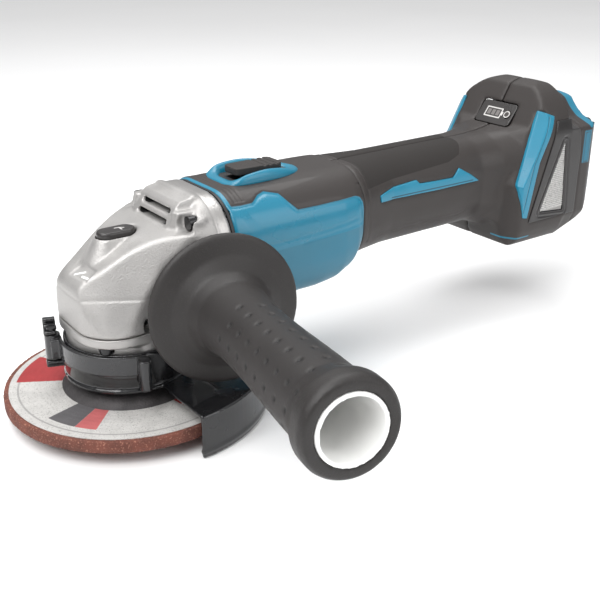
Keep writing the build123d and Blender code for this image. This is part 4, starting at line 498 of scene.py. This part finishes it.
# ---------------------------------------------------------------- motor housing
barrel = remade("motor_housing", "motor_barrel", 0.78, 6)
where = spots(barrel)
facing = normals(barrel)
side_view = where[:, (0, 2)]
OVERMOULD = ((46.6, 112), (46.6, 97.3), (51.8, 97.0), (58.5, 97.1), (63.6, 99.4), (68.1, 100.2), (75.2, 98.6),
             (78.4, 94.7), (82.4, 90.7), (94.4, 90.6), (108.5, 90.8), (119.5, 91.1), (122.6, 90.0), (124.6, 87.0),
             (125.6, 80.0), (125.8, 60.0), (128.0, 60.0), (128.0, 112))
over_mould = inside(side_view, OVERMOULD)
shown = (np.abs(where[:, 1]) > 12) | (where[:, 2] > 90) | (where[:, 2] < 50)
lines = np.minimum(line_distance(side_view, ((62.0, 76.2), (99.8, 77.5), (120.0, 79.6))),
                   line_distance(side_view, ((84.0, 73.6), (124.0, 76.4))))
outside = (np.abs(where[:, 1]) > 27) | (where[:, 2] > 96) | (where[:, 2] < 46)
where += facing * (step(over_mould, 1.0) * 0.35 * outside)[:, None]
where -= facing * (groove(over_mould + 0.6, 0.6) * 0.35 * outside)[:, None]
where -= facing * (groove(lines, 0.55) * 0.35 * (np.abs(where[:, 1]) > 27))[:, None]
swell = inside(side_view, ((52.0, 96.0), (58.5, 88.5), (63.0, 80.0), (60.0, 66.0), (48.0, 62.0), (45.0, 96.0)))
where += facing * (np.clip(swell / 6, 0, 1) * 0.6 * (np.abs(where[:, 1]) > 27) * (where[:, 0] > 46))[:, None]
for offset in (49.8, 52.0, 54.2):
    where -= facing * (groove(where[:, 0] - offset, 0.55) * 0.4 * (where[:, 2] > 98.5) * (over_mould > 0.8))[:, None]
put(barrel, where)
region(barrel, "over_mould", over_mould)
region(barrel, "low_teal", 73.4 - where[:, 2] + 0.03 * (where[:, 0] - 90))
finish(barrel, "tool_body", "teal_plastic", surface(
    "teal_barrel", TEAL, 0.33, 0.0, 0.05, 30.0, 0.12, 2200.0, coat=0.15,
    regions=(("low_teal", shade(TEAL, 0.8), 0.36, 0.0), ("over_mould", DARK, 0.55, 0.0))), "motor_housing")


def closed_curve(points, count):
    """Points evenly along a smooth closed curve through the given points and their mirror image."""
    half = [Vector(p) for p in points]
    ring = half + [Vector((p.x, -p.y, *p[2:])) for p in reversed(half[1:-1])]
    found = []
    for i in range(len(ring)):
        a, b, c, d = (ring[(i + k) % len(ring)] for k in (-1, 0, 1, 2))
        for j in range(count):
            t = j / count
            found.append(0.5 * (2 * b + (c - a) * t + (2 * a - 5 * b + 4 * c - d) * t * t
                                + (3 * b - a - 3 * c + d) * t ** 3))
    return found


def ring_wall(name, *outlines):
    """A closed wall through rings of points, from its outer foot over the crest to its inner foot."""
    made = bmesh.new()
    rings = [[made.verts.new(p * MM) for p in closed_curve(outline, 8)] for outline in outlines]
    for one, two in zip(rings, rings[1:] + rings[:1]):
        for i in range(len(one)):
            j = (i + 1) % len(one)
            made.faces.new((one[i], one[j], two[j], two[i]))
    bmesh.ops.recalc_face_normals(made, faces=made.faces)
    mesh = bpy.data.meshes.new(name)
    made.to_mesh(mesh)
    made.free()
    obj = link(mesh, name)
    smooth = obj.modifiers.new("smooth", "SUBSURF")
    smooth.levels = smooth.render_levels = 2
    for polygon in mesh.polygons:
        polygon.use_smooth = True
    return obj


bezel = ring_wall(
    "switch_surround",
    ((53.4, 0, 101.4), (53.9, 9.0, 101.3), (56.0, 13.6, 100.9), (63, 15.6, 100.2), (76, 15.8, 100.2), (88, 14.6, 100.6),
     (96.5, 11.2, 101.2), (101.6, 6.0, 101.6), (103.4, 0, 101.8)),
    ((54.0, 0, 103.4), (54.6, 9.0, 103.4), (57.0, 13.4, 104.2), (63.4, 15.2, 106.2), (76, 14.9, 107.2), (88, 13.4, 106.0),
     (96.0, 10.2, 104.4), (100.8, 5.6, 103.6), (102.4, 0, 103.5)),
    ((56.4, 0, 104.1), (57.2, 7.8, 104.1), (60, 12.0, 105.9), (64.6, 13.6, 107.7), (76, 12.9, 108.5), (87, 11.2, 107.2),
     (94.0, 8.6, 105.3), (98.4, 4.8, 104.2), (100.0, 0, 104.1)),
    ((58.6, 0, 103.8), (59.4, 6.8, 103.8), (61.8, 10.4, 105.0), (65.6, 11.5, 106.8), (76, 10.9, 107.6), (87, 9.6, 106.4),
     (92.8, 7.4, 104.8), (96.4, 4.1, 103.8), (97.6, 0, 103.7)),
    ((59.4, 0, 102.6), (60.4, 6.2, 102.6), (62.8, 9.4, 102.7), (66.2, 10.3, 102.8), (76, 9.8, 102.9), (86.4, 8.9, 102.8),
     (92.2, 6.9, 102.7), (95.2, 3.7, 102.6), (96.4, 0, 102.6)),
    ((59.4, 0, 101.7), (60.4, 6.2, 101.7), (62.8, 9.4, 101.7), (66.2, 10.3, 101.7), (76, 9.8, 101.7), (86.4, 8.9, 101.7),
     (92.2, 6.9, 101.7), (95.2, 3.7, 101.7), (96.4, 0, 101.7)))
finish(bezel, "tool_body", "teal_plastic", finishes["teal_plastic"], "switch_bezel")

knob = remade("switch_knob", "rocker_knob", 0.27, 4)
where = spots(knob)
above_wall = step(where[:, 2] - 104.0, 2.0)
where[:, 0] += above_wall * ((where[:, 0] - 63.0) * 0.16 - 0.4)
where[:, 1] *= 1 + 0.12 * above_wall * np.clip((where[:, 0] - 66.0) / 22.0, 0, 1)
put(knob, where)
finish(knob, "switch_rocker", "black_plastic", surface(
    "rocker_knob", srgb(46, 42, 40), 0.6, 0.0, 0.1, 60.0, 0.5, 1800.0), "switch_knob")

# ---------------------------------------------------------------- grip and foot
foot_look = surface(
    "dark_shell", DARK, 0.52, 0.0, 0.05, 25.0, 0.3, 1700.0, coat=0.05,
    regions=(("teal_edge", TEAL, 0.36, 0.0), ("textured", srgb(34, 30, 28), 0.85, 0.0),
             ("rear_label", shade(TEAL, 0.8), 0.4, 0.0)))
for side, sign in (("left", -1), ("right", 1)):
    shell = remade(f"grip_shell_{side}", f"grip_{side}", 0.86, 22)
    where = spots(shell)
    facing = normals(shell)
    side_view = where[:, (0, 2)]
    aside = np.abs(where[:, 1])
    outward = facing[:, 1] * sign > 0.25
    low_line = line_distance(side_view, ((141.0, 63.4), (205.0, 62.2), (210.0, 64.0)))
    where -= facing * (groove(low_line, 0.6) * 0.35 * outward * (where[:, 0] < 215))[:, None]
    collar = groove(where[:, 0] - 131.2 - 0.12 * np.clip(86 - where[:, 2], 0, 30) * 0.3, 0.9)
    where -= facing * (collar * 0.45 * (where[:, 2] > 62))[:, None]
    rear_plate = groove(where[:, 0] - 291.6, 0.7) * (where[:, 2] > 44) * (aside > 12)
    where -= facing * (rear_plate * 0.4)[:, None]
    put(shell, where)
    texture = inside(side_view, ((132.0, 112.0), (131.6, 91.5), (150.0, 92.5), (196.0, 95.0), (206.0, 97.5),
                                 (212.0, 102.5), (214.5, 112.0)))
    region(shell, "textured", texture)
    edge = np.minimum(where[:, 0] - 298.6, where[:, 2] - 104.5)
    edge = np.maximum(edge, np.minimum(where[:, 0] - 303.6, np.minimum(where[:, 2] - 46.0, aside - 30.0)))
    sliver = np.minimum(0.5 - np.abs(where[:, 2] - 43.9), np.minimum(252.0 - where[:, 0], aside - 20.0))
    region(shell, "teal_edge", np.maximum(edge, sliver))
    tag = inside(side_view, ((293.6, 83.0), (293.6, 103.4), (299.6, 103.4), (299.6, 83.0)))
    tag_line = 0.35 - np.abs(tag - 1.2)
    region(shell, "rear_label", np.where(aside > 36, np.maximum(np.where(tag > 0, -tag_line, tag), -9), -9.0))
    finish(shell, "tool_body", "dark_grip", foot_look, f"grip_shell_{side}")

    strip = remade(f"side_stripe_{side}", f"stripe_{side}", 0.32, 2)
    where = spots(strip)
    side_view = where[:, (0, 2)]
    inner = line_distance(side_view, ((150.0, 83.2), (213.0, 82.6)))
    region(strip, "inner_line", 0.35 - inner)
    finish(strip, "tool_body", "teal_plastic", surface(
        "teal_stripe", shade(TEAL, 1.12), 0.35, 0.0, 0.05, 40.0, 0.12, 2000.0, coat=0.15,
        regions=(("inner_line", shade(TEAL, 0.35), 0.5, 0.0),)), f"side_stripe_{side}")

    trim = remade(f"foot_trim_{side}", f"trim_{side}", 0.32, 2)
    where = spots(trim)
    side_view = where[:, (0, 2)]
    facing = normals(trim)
    inner = line_distance(side_view, ((262.0, 115.0), (249.6, 88.0), (243.6, 60.0)))
    where -= facing * (groove(inner, 0.45) * 0.3)[:, None]
    put(trim, where)
    region(trim, "inner_line", 0.3 - inner)
    finish(trim, "tool_body", "teal_plastic", surface(
        "teal_trim", shade(TEAL, 1.12), 0.35, 0.0, 0.05, 40.0, 0.12, 2000.0, coat=0.15,
        regions=(("inner_line", shade(TEAL, 0.5), 0.5, 0.0),)), f"foot_trim_{side}")

    surround = remade(f"vent_frame_{side}", f"vent_surround_{side}", 0.36, 2)
    where = spots(surround)
    facing = normals(surround)
    middle_of_vent = inside(where[:, (0, 2)], VENT_WINDOW)
    where -= facing * (groove(middle_of_vent + 3.0, 0.7) * 0.5)[:, None]
    where -= facing * (step(middle_of_vent + 1.4, 0.8) * 0.4)[:, None]
    put(surround, where)
    finish(surround, "tool_body", "black_plastic", surface(
        "vent_black", srgb(36, 34, 34), 0.38, 0.0, 0.12, 50.0, 0.2, 1500.0, coat=0.2), f"vent_frame_{side}")

    window_low, window_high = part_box(f"vent_mesh_{side}")
    outer_face = (window_low.y if sign < 0 else window_high.y) / MM
    made = bmesh.new()

    def bar(x0, z0, x1, z1, deep):
        """A thin bar of the mesh between two points of the window."""
        near, far = sorted((outer_face - sign * deep, outer_face - sign * (deep + 0.35)))
        bmesh.ops.create_cube(made, size=1.0, matrix=Matrix.Translation(
            Vector(((x0 + x1) / 2, (near + far) / 2, (z0 + z1) / 2)) * MM) @ Matrix.Diagonal(
            Vector((max(x1 - x0, 0.42), far - near, max(z1 - z0, 0.42), 1 / MM)) * MM))

    apex, right_foot, left_foot = VENT_WINDOW
    for i in range(1, 34):
        z = left_foot[1] + (apex[1] - left_foot[1]) * i / 34
        share = (z - left_foot[1]) / (apex[1] - left_foot[1])
        start = left_foot[0] + (apex[0] - left_foot[0]) * share
        end = right_foot[0] + (apex[0] - right_foot[0]) * share
        if end - start > 0.8:
            bar(start, z, end, z, 0.30)
    for i in range(1, 17):
        x = left_foot[0] + (right_foot[0] - left_foot[0]) * i / 17
        share = min((x - left_foot[0]) / (apex[0] - left_foot[0]), 1.0)
        if x > apex[0]:
            share = (right_foot[0] - x) / (right_foot[0] - apex[0])
        top_of_bar = left_foot[1] + (apex[1] - left_foot[1]) * share
        if top_of_bar - left_foot[1] > 1.5:
            bar(x, left_foot[1], x, top_of_bar - 0.6, 0.55)
    bar_mesh = bpy.data.meshes.new(f"mesh_{side}")
    made.to_mesh(bar_mesh)
    made.free()
    grille = link(bar_mesh, f"grille_{side}")
    finish(grille, "tool_body", "grille", finishes["grille"], f"vent_mesh_{side}")
    plate_outline = [(x, z) for x, z in VENT_WINDOW]
    backing = prism(plate_outline, 0.0, 0.3, Matrix.Translation(Vector((0, outer_face - sign * 1.1, 0)) * MM)
                    @ Matrix.Rotation(math.pi / 2, 4, "X"))
    backing.name = f"grille_backing_{side}"
    paint(backing, surface("grille_backing", srgb(150, 149, 147), 0.6, 0.2, 0.1, 60.0, 0.6, 1200.0))
    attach(backing, "tool_body")

# ---------------------------------------------------------------- indicator
panel_low, panel_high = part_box("indicator_panel")
panel_middle = (panel_low + panel_high) / 2 / MM
slope = Vector((0.61, 0, 0.79)).normalized()
panel = remade("indicator_panel", "indicator_plate", 0.26, 2)
where = spots(panel)
flat = np.stack((where[:, 1], (where - np.array(panel_middle)) @ np.array(slope)), axis=1)
battery = inside(flat, ((-4.0, -3.0), (8.0, -3.0), (8.0, 3.0), (-4.0, 3.0)))
outline = 0.38 - np.abs(battery)
nub = inside(flat, ((-5.4, -1.2), (-4.0, -1.2), (-4.0, 1.2), (-5.4, 1.2)))
bars = np.full(len(flat), -9.0)
for i in range(3):
    start = -2.6 + 3.4 * i
    bars = np.maximum(bars, inside(flat, ((start, -1.8), (start + 2.5, -1.8), (start + 2.5, 1.8), (start, 1.8))))
region(panel, "outline", np.maximum(outline, nub))
region(panel, "bars", bars)
finish(panel, "tool_body", "black_plastic", surface(
    "indicator_plate", srgb(40, 37, 36), 0.3, 0.0, 0.08, 60.0, 0.1, 1500.0, coat=0.3,
    regions=(("bars", srgb(112, 108, 106), 0.4, 0.0), ("outline", srgb(205, 203, 200), 0.45, 0.0))),
    "indicator_panel")
check = remade("check_button", "check_cap", 0.2, 3)
where = spots(check)
check_low, check_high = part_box("check_button")
check_middle = (check_low + check_high) / 2 / MM
around = where - np.array(check_middle)
tilt = np.array((-0.79, 0, 0.61)) / math.hypot(0.79, 0.61)
radial = np.linalg.norm(around - (around @ tilt)[:, None] * tilt, axis=1)
region(check, "ring", 0.3 - np.abs(radial - 1.95))
finish(check, "battery_check", "black_plastic", surface(
    "check_cap", srgb(60, 56, 54), 0.4, 0.0, 0.08, 60.0, 0.1, 1500.0,
    regions=(("ring", srgb(205, 203, 200), 0.45, 0.0),)), "check_button")

# ---------------------------------------------------------------- side handle
foot = Vector((27.1, -50.0, 57.35))
axis = Vector((-0.2042, -0.9775, 0.0523)).normalized()
aside = axis.cross(UP).normalized()
above = aside.cross(axis)
handle = remade("handle_grip", "rubber_handle", 0.8, 6)
where = spots(handle)
facing = normals(handle)
local = where - np.array(foot)
along = local @ np.array(axis)
across_grip = np.stack((local @ np.array(aside), local @ np.array(above)), axis=1)
distance = np.linalg.norm(across_grip, axis=1)
bearing = np.degrees(np.arctan2(across_grip[:, 1], across_grip[:, 0])) % 360
outward = (facing * (where - np.array(foot) - along[:, None] * np.array(axis))).sum(axis=1) > 0
nearest = np.full(len(where), 99.0)
for row in range(12):
    for k in range(8):
        lift = (bearing - (row * 30 + 8) + 180) % 360 - 180
        spot = np.hypot(lift * np.pi / 180 * distance, along - (38.0 + 10.5 * k + 5.2 * (row % 2)))
        where -= facing * (groove(spot, 1.2) * 1.0 * outward * (distance > 14))[:, None]
        nearest = np.minimum(nearest, spot)
put(handle, where)
# Painted shade: the dimple pits are coloured darker than the rubber around them.
region(handle, "dimple_shade", np.where(outward, 1.25 - nearest, -5.0))
finish(handle, "side_handle", "dark_grip", surface(
    "handle_rubber", srgb(36, 33, 32), 0.55, 0.0, 0.08, 30.0, 0.35, 1500.0, 0.1, srgb(84, 80, 78),
    # painted shade in the dimple pits
    regions=(("dimple_shade", srgb(20, 18, 18), 0.6, 0.0),)), "handle_grip")
tab = Matrix.Translation((foot + axis * 118.0 + above * 13.0) * MM)
slot_cut = prism(capsule(22.0, 5.4), -3.0, 3.0, tab @ Matrix((aside, axis, above)).transposed().to_4x4()
                 @ Matrix.Rotation(math.pi / 2, 4, "Z"))
sleeve = remade("handle_sleeve", "white_sleeve", 0.6, 3, cuts=(slot_cut,))
finish(sleeve, "side_handle", "white_plastic", finishes["white_plastic"], "handle_sleeve")

# ---------------------------------------------------------------- studio
camera_data = bpy.data.cameras.new("camera")
camera = bpy.data.objects.new("camera", camera_data)
scene.collection.objects.link(camera)
forward = Vector((0.5387, 0.7446, -0.3941)).normalized()
right = forward.cross(UP).normalized()
over = right.cross(forward)
roll = math.radians(0.11)
across = right * math.cos(roll) + over * math.sin(roll)
upward = over * math.cos(roll) - right * math.sin(roll)
turn = Matrix((across, upward, -forward)).transposed().to_4x4()
turn.translation = Vector((-0.18018, -0.39642, 0.23442))
camera.matrix_world = turn
camera_data.lens = 56.57
camera_data.sensor_width = 36
scene.camera = camera
scene.view_settings.view_transform = "Standard"

low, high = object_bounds()
middle = (Vector(low) + Vector(high)) / 2
floor_mesh = bpy.data.meshes.new("floor")
reach = 3.0
floor_mesh.from_pydata(
    [(middle.x + a * reach, middle.y + b * reach, low[2] - 0.0005) for a, b in ((-1, -1), (1, -1), (1, 1), (-1, 1))],
    [], [(0, 1, 2, 3)])
floor = link(floor_mesh, "floor")
floor.data.materials.append(surface("studio_floor", (0.93, 0.93, 0.93, 1.0), 0.8, 0.0, 0.01, 3.0, wear=0.02))

world = bpy.data.worlds.new("studio")
scene.world = world
world.use_nodes = True
sky = world.node_tree
sky_place = sky.nodes.new("ShaderNodeTexCoord")
sky_split = sky.nodes.new("ShaderNodeSeparateXYZ")
sky_ramp = sky.nodes.new("ShaderNodeValToRGB")
sky.links.new(sky_place.outputs["Generated"], sky_split.inputs["Vector"])
sky.links.new(sky_split.outputs["Z"], sky_ramp.inputs["Fac"])
sky.links.new(sky_ramp.outputs["Color"], sky.nodes["Background"].inputs["Color"])
sky_ramp.color_ramp.elements[0].color = (0.16, 0.16, 0.17, 1.0)
sky_ramp.color_ramp.elements[1].position = 0.85
sky_ramp.color_ramp.elements[1].color = (1.0, 1.0, 1.0, 1.0)
sky.nodes["Background"].inputs["Strength"].default_value = 0.85


def lamp(name, where, size, power):
    data = bpy.data.lights.new(name, "AREA")
    data.shape = "RECTANGLE"
    data.size, data.size_y = size
    data.energy = power
    obj = bpy.data.objects.new(name, data)
    scene.collection.objects.link(obj)
    obj.location = where
    obj.rotation_euler = (middle - Vector(where)).to_track_quat("-Z", "Y").to_euler()


lamp("key", (-0.6, -0.25, 0.95), (0.8, 0.8), 11.0)
lamp("fill", (0.55, -0.95, 0.55), (0.7, 0.7), 3.5)
lamp("top", (0.2, 0.35, 1.1), (1.2, 0.6), 8.0)
